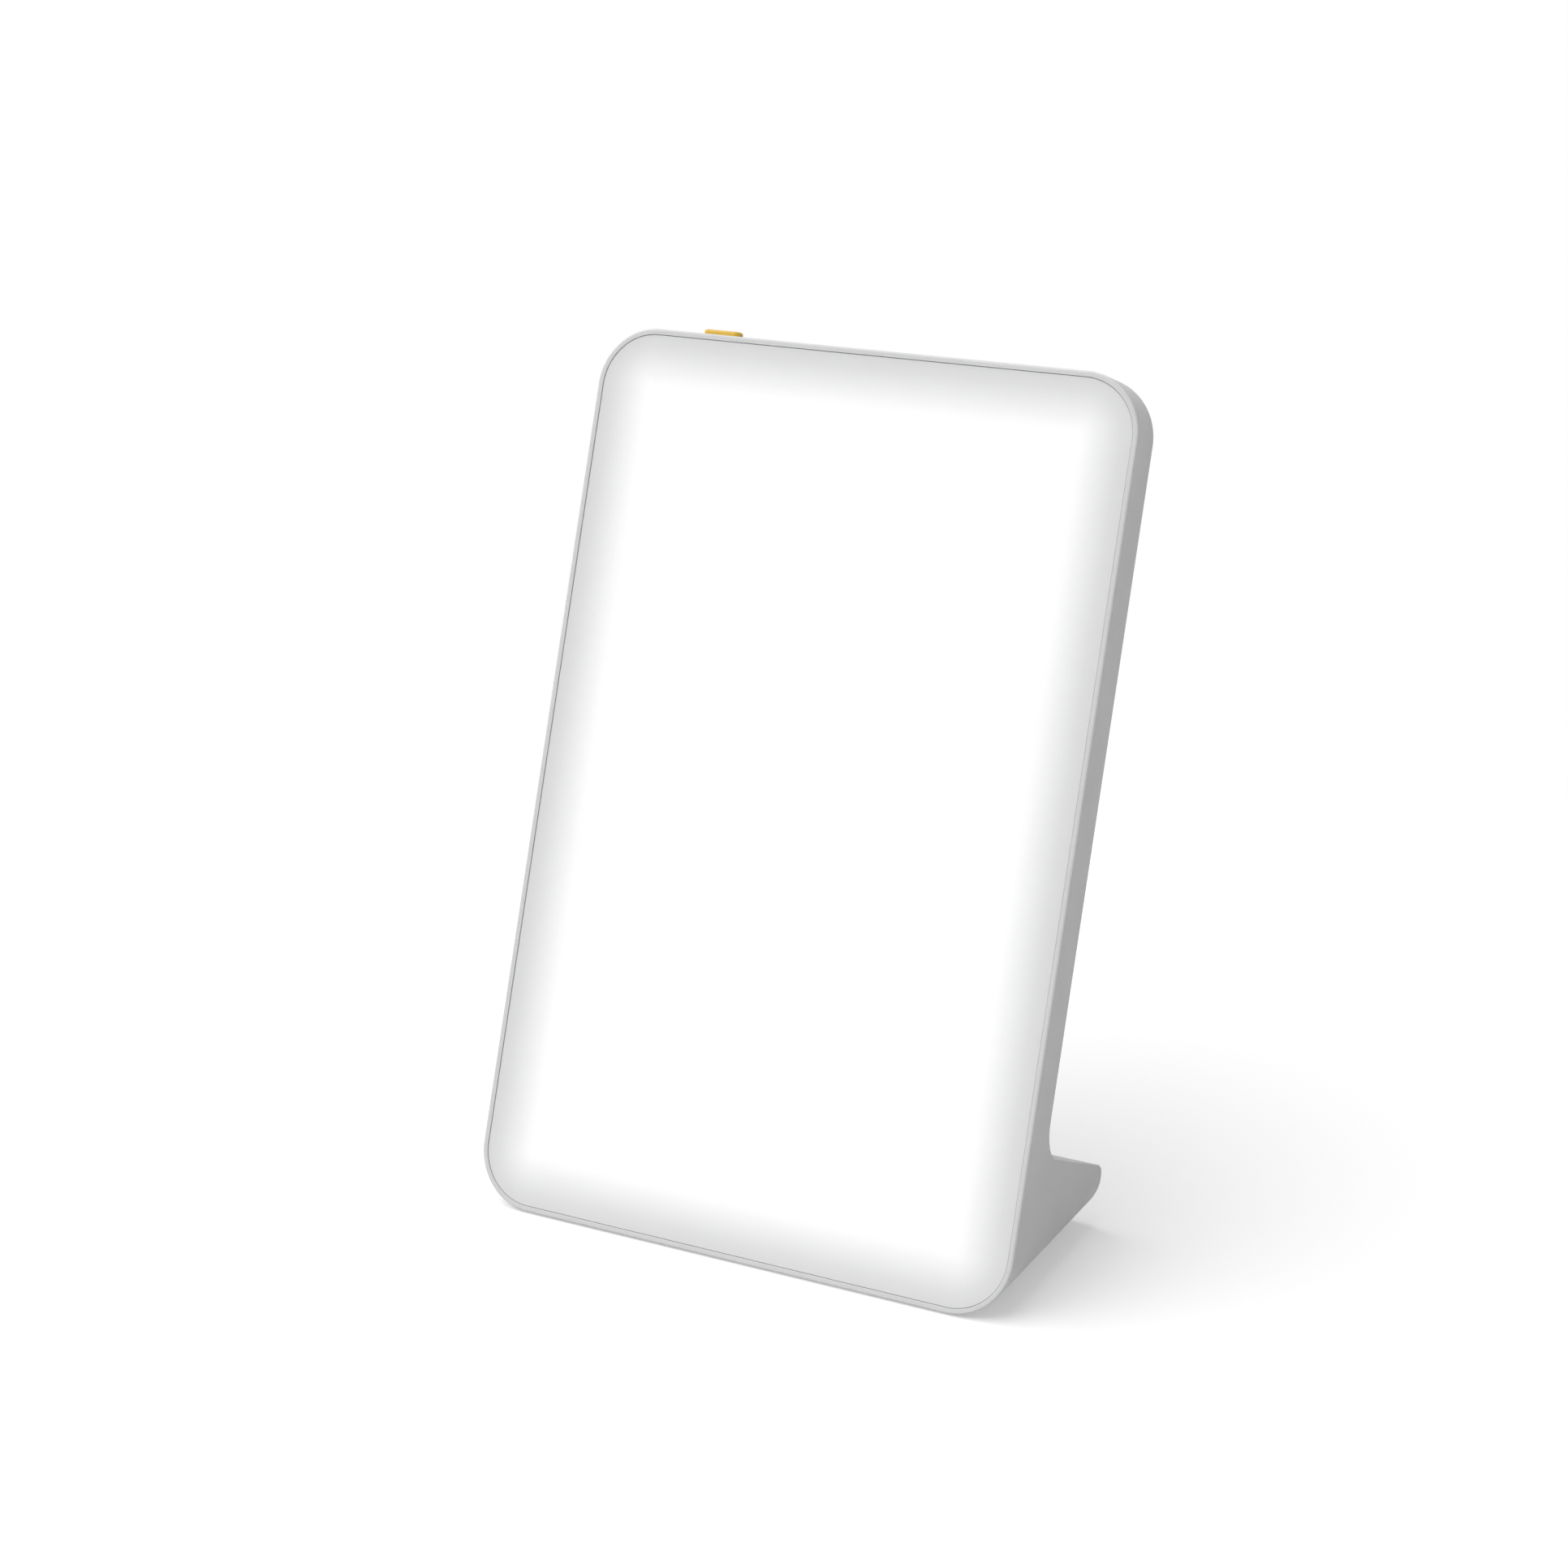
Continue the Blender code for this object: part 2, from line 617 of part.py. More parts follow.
def cut_base_opening(housing):
    """The opening under the foot, the lip round it and the bosses for the base plate's screws.

    The bosses start below the lip, where the base plate's recess then cuts them level."""
    opening = rounded(base_outline(BASE_LIP_WIDTH))
    modify(housing, extruded("base opening", [opening], floor_frame, -OVERRUN, BOTTOM_WALL + OVERRUN),
           "DIFFERENCE")
    bosses = [disc(x, back, BOSS_RADIUS) for x, back in base_bosses()]
    modify(housing, extruded("base bosses", bosses, floor_frame, BASE_TOP / 2,
                             BASE_LIP_BOTTOM + BASE_BOSS_HEIGHT), "UNION")
    recess = rounded(base_outline(0))
    modify(housing, extruded("base recess", [recess], floor_frame, -OVERRUN, BASE_LIP_BOTTOM), "DIFFERENCE")
    holes = [disc(x, back, PILOT_RADIUS) for x, back in base_bosses()]
    modify(housing, extruded("base pilots", holes, floor_frame, -OVERRUN, BASE_LIP_BOTTOM + SCREW_LENGTH),
           "DIFFERENCE")


def cut_inlet(housing):
    """The round well in the foot's rear face, behind which the inlet sits."""
    outer = extruded("well tube", [disc(0, JACK_CENTRE, WELL_RADIUS + WELL_WALL)], front_frame,
                     -FOOT_LENGTH + WALL / 2, -FOOT_LENGTH + WELL_DEPTH + WELL_WALL)
    modify(housing, outer, "UNION")
    well = extruded("well", [disc(0, JACK_CENTRE, WELL_RADIUS)], front_frame, -FOOT_LENGTH - OVERRUN,
                    WELL_DEPTH - FOOT_LENGTH)
    modify(housing, well, "DIFFERENCE")
    hole = extruded("well hole", [disc(0, JACK_CENTRE, WELL_HOLE_RADIUS)], front_frame,
                    -FOOT_LENGTH - OVERRUN, WELL_DEPTH + WELL_WALL + OVERRUN - FOOT_LENGTH)
    modify(housing, hole, "DIFFERENCE")


def diffuser():
    edge = WALL + GAP
    outline = rounded(inset(front_corners(), [edge] * 4))
    extruded("diffuser_panel", [outline], panel_frame, -DIFFUSER_BACK, -DIFFUSER_SET_BACK, opal)
    outer = rounded(inset(front_corners(), [edge + GASKET_MARGIN - GAP] * 4))
    inner = rounded(inset(front_corners(), [LEDGE_INSET - GASKET_MARGIN] * 4))
    extruded("diffuser_gasket", [outer, inner], panel_frame, -GASKET_FRONT - GASKET_THICK, -GASKET_FRONT,
             foam)


def loft(name, lower, upper, low, high, parent):
    """A solid between two like outlines at two heights."""
    form = bmesh.new()
    rings = [[form.verts.new((x, y, z)) for x, y in outline] for outline, z in ((lower, low), (upper, high))]
    for index in range(len(lower)):
        after = (index + 1) % len(lower)
        form.faces.new((rings[0][index], rings[0][after], rings[1][after], rings[1][index]))
    form.faces.new(rings[0][::-1])
    form.faces.new(rings[1])
    mesh = bpy.data.meshes.new(name)
    form.to_mesh(mesh)
    form.free()
    return place(name, closed_mesh(mesh), parent)


def tray_section(margin, thicken):
    radius = TRAY_CORNER_RADIUS + thicken
    return rounded(rectangle(margin - HALF_WIDTH - thicken, HALF_WIDTH - margin + thicken, margin - thicken,
                             PANEL_LENGTH - margin + thicken, radius, radius))


def strip_rises():
    pitch = (PANEL_LENGTH - 2 * TRAY_FLOOR_INSET) / STRIP_COUNT
    return [TRAY_FLOOR_INSET + pitch * (index + 0.5) for index in range(STRIP_COUNT)]


def reflector_tray():
    """A thin white tray: a wide flange, sloping walls and a floor with a slot for each row of chips."""
    rim = rounded(inset(front_corners(), [TRAY_MARGIN] * 4))
    flange_back = TRAY_FRONT + SHEET_THICK
    tray = extruded("reflector_tray", [rim], panel_frame, -flange_back, -TRAY_FRONT, white_sheet)
    floor_front = TRAY_FRONT + TRAY_DEPTH
    outside = loft("tray outside", tray_section(TRAY_FLOOR_INSET, SHEET_THICK),
                   tray_section(TRAY_MOUTH_INSET, SHEET_THICK), -TRAY_BACK, -TRAY_FRONT - SHEET_THICK / 2,
                   panel_frame)
    modify(tray, outside, "UNION")
    slope = (TRAY_FLOOR_INSET - TRAY_MOUTH_INSET) / TRAY_DEPTH
    inside = loft("tray inside", tray_section(TRAY_FLOOR_INSET, 0),
                  tray_section(TRAY_MOUTH_INSET - slope * OVERRUN, 0), -floor_front, OVERRUN - TRAY_FRONT,
                  panel_frame)
    modify(tray, inside, "DIFFERENCE")
    half = chip_span() / 2 + CHIP_LENGTH / 2 + SLOT_MARGIN
    reach = CHIP_HEIGHT / 2 + SLOT_MARGIN
    slots = [rounded(rectangle(-half, half, rise - reach, rise + reach)) for rise in strip_rises()]
    modify(tray, extruded("tray slots", slots, panel_frame, -TRAY_BACK - OVERRUN, OVERRUN - floor_front),
           "DIFFERENCE")
    radius = BOSS_RADIUS + BOSS_CLEARANCE
    notches = [tongue(x, rise, radius, side) for x, rise, side in spreader_bosses() + cover_side_bosses()]
    notches += [hanging_tongue(x, rise, radius) for x, rise in cover_top_bosses()]
    notches += [hanging_tongue(x, rise, SWITCH_BOSS_RADIUS + BOSS_CLEARANCE) for x, rise in switch_bosses()]
    modify(tray, extruded("tray notches", notches, panel_frame, -flange_back - OVERRUN, OVERRUN - TRAY_FRONT),
           "DIFFERENCE")


def chip_span():
    return STRIP_LENGTH * (CHIP_COUNT - 1) / (CHIP_COUNT + 1)


def led_strips():
    """Boards with their soldered chips, which look through the tray's slots."""
    half = STRIP_LENGTH / 2
    pitch = chip_span() / (CHIP_COUNT - 1)
    for index, rise in enumerate(strip_rises(), start=1):
        outline = rectangle(-half, half, rise - STRIP_HEIGHT / 2, rise + STRIP_HEIGHT / 2)
        strip = extruded(f"led_strip_{index}", [rounded(outline)], panel_frame, -STRIP_BACK, -STRIP_FRONT,
                         strip_mask)
        chips = []
        for step in range(CHIP_COUNT):
            middle = pitch * step - chip_span() / 2
            chips.append(rounded(rectangle(middle - CHIP_LENGTH / 2, middle + CHIP_LENGTH / 2,
                                           rise - CHIP_HEIGHT / 2, rise + CHIP_HEIGHT / 2)))
        soldered = extruded(f"chips {index}", chips, panel_frame, -STRIP_FRONT - STRIP_THICK / 2,
                            CHIP_THICK - STRIP_FRONT)
        modify(strip, soldered, "UNION")


def strip_jumpers():
    """A bowed wire from the end of each strip to the next, on the strips' front side."""
    across = STRIP_LENGTH / 2 - JUMPER_INSET
    seat = JUMPER_RADIUS + GAP - STRIP_FRONT
    rises = strip_rises()
    for index, (low, high) in enumerate(zip(rises, rises[1:]), start=1):
        start = low + STRIP_HEIGHT / 4
        stop = high - STRIP_HEIGHT / 4
        knots = [(across, start, seat), (across, start + JUMPER_BOW, seat),
                 (across + JUMPER_BOW, (start + stop) / 2, seat), (across, stop - JUMPER_BOW, seat),
                 (across, stop, seat)]
        tube(f"strip_jumper_{index}", smooth_run(knots, JUMPER_STEPS), JUMPER_RADIUS, panel_frame, lead_red)


def heat_spreader():
    right = HALF_WIDTH - SPREADER_SIDE_MARGIN
    outline = rectangle(-right, right, SPREADER_END_MARGIN, PANEL_LENGTH - SPREADER_END_MARGIN)
    holes = [disc(x, rise, PILOT_RADIUS) for x, rise, side in spreader_bosses()]
    sheet = extruded("heat_spreader", [rounded(outline), *holes], panel_frame, -SPREADER_BACK,
                     -SPREADER_FRONT, aluminium)
    notches = [tongue(x, rise, BOSS_RADIUS + BOSS_CLEARANCE, side) for x, rise, side in cover_side_bosses()]
    modify(sheet, extruded("spreader notches", notches, panel_frame, -SPREADER_BACK - OVERRUN,
                           OVERRUN - SPREADER_FRONT), "DIFFERENCE")


def vent_slots():
    """Rows of round-ended slots near the top and bottom of the rear cover."""
    slots = []
    for share in VENT_RISE_SHARES:
        for row in range(VENT_ROWS):
            rise = share * PANEL_LENGTH + VENT_ROW_PITCH * (row - (VENT_ROWS - 1) / 2)
            for column in range(VENT_COLUMNS):
                middle = VENT_PITCH * (column - (VENT_COLUMNS - 1) / 2)
                slot = stadium(VENT_LENGTH, VENT_HEIGHT, arc_step=SMALL_ARC_STEP)
                slots.append([(middle + x, rise + y) for x, y in slot])
    return slots


def rear_cover():
    outline = rounded(inset(cover_corners(0), [GAP] * 4))
    cover = extruded("rear_cover", [outline], panel_frame, -PANEL_THICK, -COVER_FRONT, cover_plastic)
    places = [(x, rise) for x, rise, side in cover_side_bosses()] + cover_top_bosses()
    bores = [disc(x, rise, COUNTERBORE_RADIUS) for x, rise in places]
    modify(cover, extruded("cover counterbores", bores, panel_frame, -PANEL_THICK - OVERRUN,
                           COUNTERBORE_DEPTH - PANEL_THICK), "DIFFERENCE")
    holes = [disc(x, rise, PILOT_RADIUS) for x, rise in places] + vent_slots()
    modify(cover, extruded("cover holes", holes, panel_frame, -PANEL_THICK - OVERRUN, OVERRUN - COVER_FRONT),
           "DIFFERENCE")


def base_plate():
    outline = rounded(inset(base_outline(0), [GAP] * 4))
    places = base_bosses()
    holes = [disc(x, back, PILOT_RADIUS) for x, back in places]
    plate = extruded("base_plate", [outline, *holes], floor_frame, 0, BASE_TOP, cover_plastic)
    bores = [disc(x, back, COUNTERBORE_RADIUS) for x, back in places]
    modify(plate, extruded("base counterbores", bores, floor_frame, -OVERRUN, COUNTERBORE_DEPTH),
           "DIFFERENCE")
    pockets = [disc(x, back, RUBBER_RADIUS + GAP) for x, back in feet()]
    modify(plate, extruded("foot pockets", pockets, floor_frame, -OVERRUN, RUBBER_POCKET), "DIFFERENCE")
    posts = [disc(x, back, STANDOFF_RADIUS) for x, back in standoffs()]
    modify(plate, extruded("standoffs", posts, floor_frame, BASE_TOP / 2, BASE_TOP + STANDOFF_HEIGHT),
           "UNION")
    pilots = [disc(x, back, SMALL_PILOT_RADIUS) for x, back in standoffs()]
    modify(plate, extruded("standoff pilots", pilots, floor_frame, BASE_TOP / 2,
                           BASE_TOP + STANDOFF_HEIGHT + OVERRUN), "DIFFERENCE")


def rubber_feet():
    for index, (x, back) in enumerate(feet(), start=1):
        foot = extruded(f"rubber_foot_{index}", [disc(x, back, RUBBER_RADIUS)], floor_frame, -RUBBER_PROUD,
                        RUBBER_POCKET - GAP, rubber)
        round_edges(foot, RUBBER_EDGE_RADIUS, 1)


def power_button():
    """The cap: a rounded pill with a flange that holds it under the top wall and a post to the switch."""
    flange_top = -WALL - GAP
    flange_bottom = flange_top - FLANGE_THICK
    cap = extruded("power_button", [stadium(BUTTON_LENGTH, BUTTON_DEPTH)], button_frame, flange_bottom,
                   BUTTON_PROUD, button_yellow)
    round_edges(cap, BUTTON_EDGE_RADIUS)
    half = BUTTON_LENGTH / 2 + FLANGE_REACH
    flange_loop = rounded(rectangle(-half, half, -BUTTON_DEPTH / 2, BUTTON_DEPTH / 2))
    modify(cap, extruded("button flange", [flange_loop], button_frame, flange_bottom, flange_top), "UNION")
    post = rounded(rectangle(-POST_WIDTH / 2, POST_WIDTH / 2, -POST_WIDTH / 2, POST_WIDTH / 2))
    modify(cap, extruded("button post", [post], button_frame, flange_bottom - POST_LENGTH,
                         flange_bottom + FLANGE_THICK / 2), "UNION")


def switch():
    """Board, body and plunger of the side-pressed switch below the button."""
    plunger_top = -WALL - GAP - FLANGE_THICK - POST_LENGTH - GAP
    body_top = plunger_top - PLUNGER_PROUD
    extruded("switch_plunger", [disc(0, 0, PLUNGER_RADIUS, SCREW_SIDES)], button_frame,
             plunger_top - PLUNGER_LENGTH, plunger_top, black_plastic)
    board_side = SWITCH_SEAT_DEPTH + GAP - BUTTON_AXIS_DEPTH - GAP
    outline = rounded(rectangle(-SWITCH_WIDTH / 2, SWITCH_WIDTH / 2, board_side - SWITCH_DEPTH, board_side))
    body = extruded("switch_body", [outline], button_frame, body_top - SWITCH_HEIGHT, body_top, black_plastic)
    bore = [disc(0, 0, PLUNGER_RADIUS + GAP, SCREW_SIDES)]
    modify(body, extruded("switch bore", bore, button_frame, body_top - SWITCH_BORE_DEPTH,
                          body_top + OVERRUN), "DIFFERENCE")
    middle = PANEL_LENGTH - SWITCH_BOSS_INSET
    left = BUTTON_ACROSS - SWITCH_BOARD_HALF_WIDTH
    right = BUTTON_ACROSS + SWITCH_BOARD_HALF_WIDTH
    board = rounded(rectangle(left, right, middle - SWITCH_BOARD_HEIGHT / 2,
                              middle + SWITCH_BOARD_HEIGHT / 2))
    holes = [disc(x, rise, SMALL_PILOT_RADIUS, SCREW_SIDES) for x, rise in switch_bosses()]
    front = SWITCH_SEAT_DEPTH + GAP
    extruded("switch_board", [board, *holes], panel_frame, -front - SWITCH_BOARD_THICK, -front, board_green)


def driver_board():
    half = BOARD_LENGTH / 2
    outline = rounded(rectangle(-half, half, BOARD_FRONT, BOARD_REAR))
    holes = [disc(x, back, SMALL_PILOT_RADIUS, SCREW_SIDES) for x, back in standoffs()]
    extruded("driver_board", [outline, *holes], floor_frame, BOARD_BOTTOM, BOARD_TOP, board_green)
    seat = BOARD_TOP + GAP
    along = BOARD_FRONT + CAPACITOR_ALONG_SHARE * BOARD_WIDTH
    for index, share in enumerate(CAPACITOR_ACROSS_SHARES, start=1):
        can = disc(share * BOARD_LENGTH, along, CAPACITOR_RADIUS)
        extruded(f"capacitor_{index}", [can], floor_frame, seat, seat + CAPACITOR_HEIGHT, can_grey)
    middle = INDUCTOR_ACROSS_SHARE * BOARD_LENGTH
    along = BOARD_FRONT + INDUCTOR_ALONG_SHARE * BOARD_WIDTH
    reach = INDUCTOR_SIZE / 2
    coil = rounded(rectangle(middle - reach, middle + reach, along - reach, along + reach,
                             INDUCTOR_CORNER_RADIUS, INDUCTOR_CORNER_RADIUS))
    extruded("inductor", [coil], floor_frame, seat, seat + INDUCTOR_HEIGHT, black_plastic)
    along = BOARD_FRONT + CHIP_BODY_ALONG_SHARE * BOARD_WIDTH
    chip = rounded(rectangle(-CHIP_BODY_LENGTH / 2, CHIP_BODY_LENGTH / 2, along - CHIP_BODY_WIDTH / 2,
                             along + CHIP_BODY_WIDTH / 2))
    extruded("driver_chip", [chip], floor_frame, seat, seat + CHIP_BODY_HEIGHT, black_plastic)
    for index, (x, back) in enumerate(connector_places(), start=1):
        socket = rounded(rectangle(x - CONNECTOR_LENGTH / 2, x + CONNECTOR_LENGTH / 2,
                                   back - CONNECTOR_WIDTH / 2, back + CONNECTOR_WIDTH / 2))
        extruded(f"board_connector_{index}", [socket], floor_frame, seat, seat + CONNECTOR_HEIGHT,
                 white_sheet)


def connector_places():
    along = BOARD_FRONT + CONNECTOR_ALONG_SHARE * BOARD_WIDTH
    return [(side * CONNECTOR_ACROSS_SHARE * BOARD_LENGTH, along) for side in (-1, 1)]


def inlet():
    front = FOOT_LENGTH - WELL_DEPTH - WELL_WALL - GAP
    half = JACK_WIDTH / 2
    outline = rounded(rectangle(-half, half, JACK_BOTTOM, JACK_BOTTOM + JACK_HEIGHT))
    body = extruded("dc_jack", [outline], front_frame, -front, JACK_LENGTH - front, black_plastic)
    bore = extruded("jack bore", [disc(0, JACK_CENTRE, JACK_BORE_RADIUS)], front_frame, -front - OVERRUN,
                    JACK_BORE_DEPTH - front)
    modify(body, bore, "DIFFERENCE")
    pin_root = JACK_BORE_DEPTH - GAP - front
    extruded("dc_jack_pin", [disc(0, JACK_CENTRE, JACK_PIN_RADIUS, SCREW_SIDES)], front_frame,
             pin_root - JACK_PIN_LENGTH, pin_root, brass)


def panel_point(across, rise, depth):
    """A place in the panel, given in the floor frame's axes."""
    return Vector((across, rise * RISE_BACK + depth * RISE_UP, rise * RISE_UP - depth * RISE_BACK))


def cable(name, knots, skin):
    """A lead that leaves its socket square and then follows the knots."""
    run = smooth_run(knots, CABLE_STEPS)
    tube(name, [run[0] - Vector((0, 0, 2 * CABLE_RADIUS)), *run], CABLE_RADIUS, floor_frame, skin)


def cable_descent(across, side):
    """From a board connector forward and outwards, then round the heat spreader's lower edge."""
    socket_top = BOARD_TOP + GAP + CONNECTOR_HEIGHT + GAP
    along = connector_places()[0][1]
    margin = side * (HALF_WIDTH - CABLE_SIDE_INSET)
    forward = BOARD_FRONT - CABLE_TURN
    below = SPREADER_END_MARGIN - CABLE_TURN
    stub = socket_top + 2 * CABLE_RADIUS
    return [Vector((across, along, stub)), Vector((across, along, stub + CABLE_LIFT)),
            Vector(((across + margin) / 2, forward, socket_top)),
            Vector((margin - side * CABLE_LIFT, forward - CABLE_TURN, CABLE_FLOOR_HEIGHT)),
            panel_point(margin, below, SPREADER_BACK),
            panel_point(margin, SPREADER_END_MARGIN, CABLE_DEPTH)]


def cables():
    """Leads from the driver's two connectors: to the lowest strip, and up the side to the switch."""
    (left, along), (right, along) = connector_places()
    strip_end = STRIP_LENGTH / 2 - JUMPER_INSET
    first = strip_rises()[0]
    wire_depth = STRIP_FRONT - GAP - CABLE_RADIUS
    knots = [*cable_descent(right, 1), panel_point(strip_end, first - STRIP_HEIGHT / 2, wire_depth),
             panel_point(strip_end, first, wire_depth)]
    cable("led_cable", knots, lead_red)
    margin = CABLE_SIDE_INSET - HALF_WIDTH
    high = PANEL_LENGTH - TRAY_FLOOR_INSET
    board_left = BUTTON_ACROSS - SWITCH_BOARD_HALF_WIDTH
    board_low = PANEL_LENGTH - SWITCH_BOSS_INSET - SWITCH_BOARD_HEIGHT / 2
    end_depth = SWITCH_SEAT_DEPTH - CABLE_RADIUS
    climb = [panel_point(margin, share * PANEL_LENGTH, CABLE_DEPTH) for share in SWITCH_CABLE_RISE_SHARES]
    knots = [*cable_descent(left, -1), *climb, panel_point(margin, high, CABLE_DEPTH),
             panel_point((margin + board_left) / 2, board_low + CABLE_RADIUS, (CABLE_DEPTH + end_depth) / 2),
             panel_point(board_left + CABLE_LIFT, board_low + CABLE_RADIUS, end_depth)]
    cable("switch_cable", knots, lead_grey)


def screw_set(name, mesh, spots, parent, turn=(0, 0, 0)):
    for index, spot in enumerate(spots, start=1):
        place(f"{name}_{index}", mesh, parent, spot, steel, turn)


def screws():
    big = screw_mesh(SCREW_HEAD_RADIUS, SCREW_HEAD_HEIGHT, SCREW_SHANK_RADIUS, SCREW_LENGTH)
    small = screw_mesh(SMALL_HEAD_RADIUS, SCREW_HEAD_HEIGHT, SMALL_SHANK_RADIUS, SHORT_SCREW_LENGTH)
    head_down = (math.pi, 0, 0)
    cover_places = [(x, rise) for x, rise, side in cover_side_bosses()] + cover_top_bosses()
    seat = PANEL_THICK - COUNTERBORE_DEPTH + GAP
    screw_set("cover_screw", big, [(x, y, -seat) for x, y in cover_places], panel_frame, head_down)
    seat = SPREADER_BACK + GAP
    screw_set("spreader_screw", big, [(x, y, -seat) for x, y, side in spreader_bosses()], panel_frame,
              head_down)
    seat = SWITCH_SEAT_DEPTH + GAP + SWITCH_BOARD_THICK + GAP
    screw_set("switch_screw", small, [(x, y, -seat) for x, y in switch_bosses()], panel_frame, head_down)
    seat = COUNTERBORE_DEPTH - GAP
    screw_set("base_screw", big, [(x, y, seat) for x, y in base_bosses()], floor_frame, head_down)
    screw_set("board_screw", small, [(x, y, BOARD_TOP + GAP) for x, y in standoffs()], floor_frame)


for leftover in list(bpy.data.objects):
    bpy.data.objects.remove(leftover)
parts = new_collection("light_therapy_lamp")
cutters = new_collection("cutters")

shell_plastic = material("shell_plastic", (0.78, 0.78, 0.79), 0.42)
cover_plastic = material("cover_plastic", (0.70, 0.70, 0.71), 0.5)
opal = material("opal", (0.96, 0.96, 0.95), 0.3, glow=1.0)
button_yellow = material("button_yellow", (0.72, 0.46, 0.05), 0.35)
foam = material("foam", (0.85, 0.85, 0.84), 0.9)
white_sheet = material("white_sheet", (0.92, 0.92, 0.92), 0.5)
strip_mask = material("strip_mask", (0.88, 0.88, 0.86), 0.4)
aluminium = material("aluminium", (0.78, 0.79, 0.80), 0.35, metallic=1.0)
board_green = material("board_green", (0.03, 0.20, 0.09), 0.35)
black_plastic = material("black_plastic", (0.02, 0.02, 0.02), 0.4)
can_grey = material("can_grey", (0.20, 0.22, 0.28), 0.3)
lead_red = material("lead_red", (0.50, 0.03, 0.02), 0.45)
lead_grey = material("lead_grey", (0.30, 0.30, 0.31), 0.45)
brass = material("brass", (0.80, 0.62, 0.30), 0.25, metallic=1.0)
steel = material("steel", (0.60, 0.61, 0.63), 0.3, metallic=1.0)
rubber = material("rubber", (0.03, 0.03, 0.03), 0.8)

FRONT_EDGE = (0, -LAMP_DEPTH / 2, RUBBER_PROUD)
floor_frame = frame("floor_frame", FRONT_EDGE, (0, 0, 0))
panel_frame = frame("panel_frame", FRONT_EDGE, (math.pi / 2 - LEAN, 0, 0))
front_frame = frame("front_frame", FRONT_EDGE, (math.pi / 2, 0, 0))
side_frame = frame("side_frame", FRONT_EDGE, (math.pi / 2, 0, math.pi / 2))
button_frame = frame("button_axis", (BUTTON_ACROSS, PANEL_LENGTH, -BUTTON_AXIS_DEPTH), (-math.pi / 2, 0, 0),
                     panel_frame)

outer_housing()
diffuser()
reflector_tray()
led_strips()
strip_jumpers()
heat_spreader()
rear_cover()
base_plate()
rubber_feet()
power_button()
switch()
driver_board()
inlet()
cables()
screws()
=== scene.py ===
import math

import bmesh
import bpy
from mathutils import Matrix, Vector


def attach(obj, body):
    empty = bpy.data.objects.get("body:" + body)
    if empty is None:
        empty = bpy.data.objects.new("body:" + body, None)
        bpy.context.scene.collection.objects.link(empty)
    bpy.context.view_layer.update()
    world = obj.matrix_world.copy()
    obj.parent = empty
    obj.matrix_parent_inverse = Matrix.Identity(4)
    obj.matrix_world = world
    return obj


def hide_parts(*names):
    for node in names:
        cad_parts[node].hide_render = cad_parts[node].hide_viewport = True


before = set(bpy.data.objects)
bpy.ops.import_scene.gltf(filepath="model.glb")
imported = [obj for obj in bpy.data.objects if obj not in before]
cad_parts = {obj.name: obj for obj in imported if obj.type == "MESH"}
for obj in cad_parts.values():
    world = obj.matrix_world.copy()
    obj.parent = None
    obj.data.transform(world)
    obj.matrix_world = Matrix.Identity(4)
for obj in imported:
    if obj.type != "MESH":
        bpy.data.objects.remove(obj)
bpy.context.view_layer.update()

# Casing, in metres, as the part's source has it
PANEL_WIDTH = 0.250
PANEL_LENGTH = 0.3845
PANEL_THICK = 0.01875
LEAN = math.radians(19)
CORNER_RADIUS = 0.026
FOOT_LENGTH = 0.103
FOOT_REAR_HEIGHT = 0.02735
FOOT_SLOPE = math.radians(25.4)
FOOT_REAR_RADIUS = 0.005
NECK_RADIUS = 0.0165
EDGE_RADIUS = 0.001
WALL = 0.0025
BOTTOM_WALL = 0.004
GAP = 0.0003
OVERRUN = 0.002
RUBBER_PROUD = 0.0008

# Front: diffuser, its ledge and the light's fall towards the rim
DIFFUSER_THICK = 0.0025
DIFFUSER_SET_BACK = 0.0003
DIFFUSER_EDGE_RADIUS = 0.0002
DIFFUSER_SEAM = 0.00015
RIM_LIP_RADIUS = 0.0002
LEDGE_FRONT = 0.0039
LEDGE_BACK = 0.0054
LEDGE_WIDTH = 0.0065
GLOW_START_INSET = 0.0026
GLOW_KNEE_INSET = 0.008
GLOW_FULL_INSET = 0.0245
GLOW_AT_KNEE = 0.05
GLOW_GAIN_TO_FULL = 0.262

# Rear cover
COVER_THICK = 0.0022
COVER_BOTTOM_RISE = 0.088
COVER_CORNER_RADIUS = 0.003
COVER_EDGE_RADIUS = 0.0004
REAR_LEDGE_WIDTH = 0.004
REAR_LEDGE_THICK = 0.0015
VENT_LENGTH = 0.022
VENT_HEIGHT = 0.002
VENT_LIP_RADIUS = 0.0003
VENT_PITCH = 0.030
VENT_ROW_PITCH = 0.006
VENT_COLUMNS = 5
VENT_ROWS = 3
VENT_RISE_SHARES = (0.33, 0.88)

# Base plate and feet
BASE_THICK = 0.002
BASE_FRONT_MARGIN = 0.012
BASE_REAR_MARGIN = 0.007
BASE_SIDE_MARGIN = 0.004
BASE_CORNER_RADIUS = 0.005
BASE_LIP_WIDTH = 0.004
BASE_EDGE_RADIUS = 0.0004
RUBBER_RADIUS = 0.006
RUBBER_POCKET = 0.0009
RUBBER_INSET = 0.017
RUBBER_EDGE_RADIUS = 0.0004

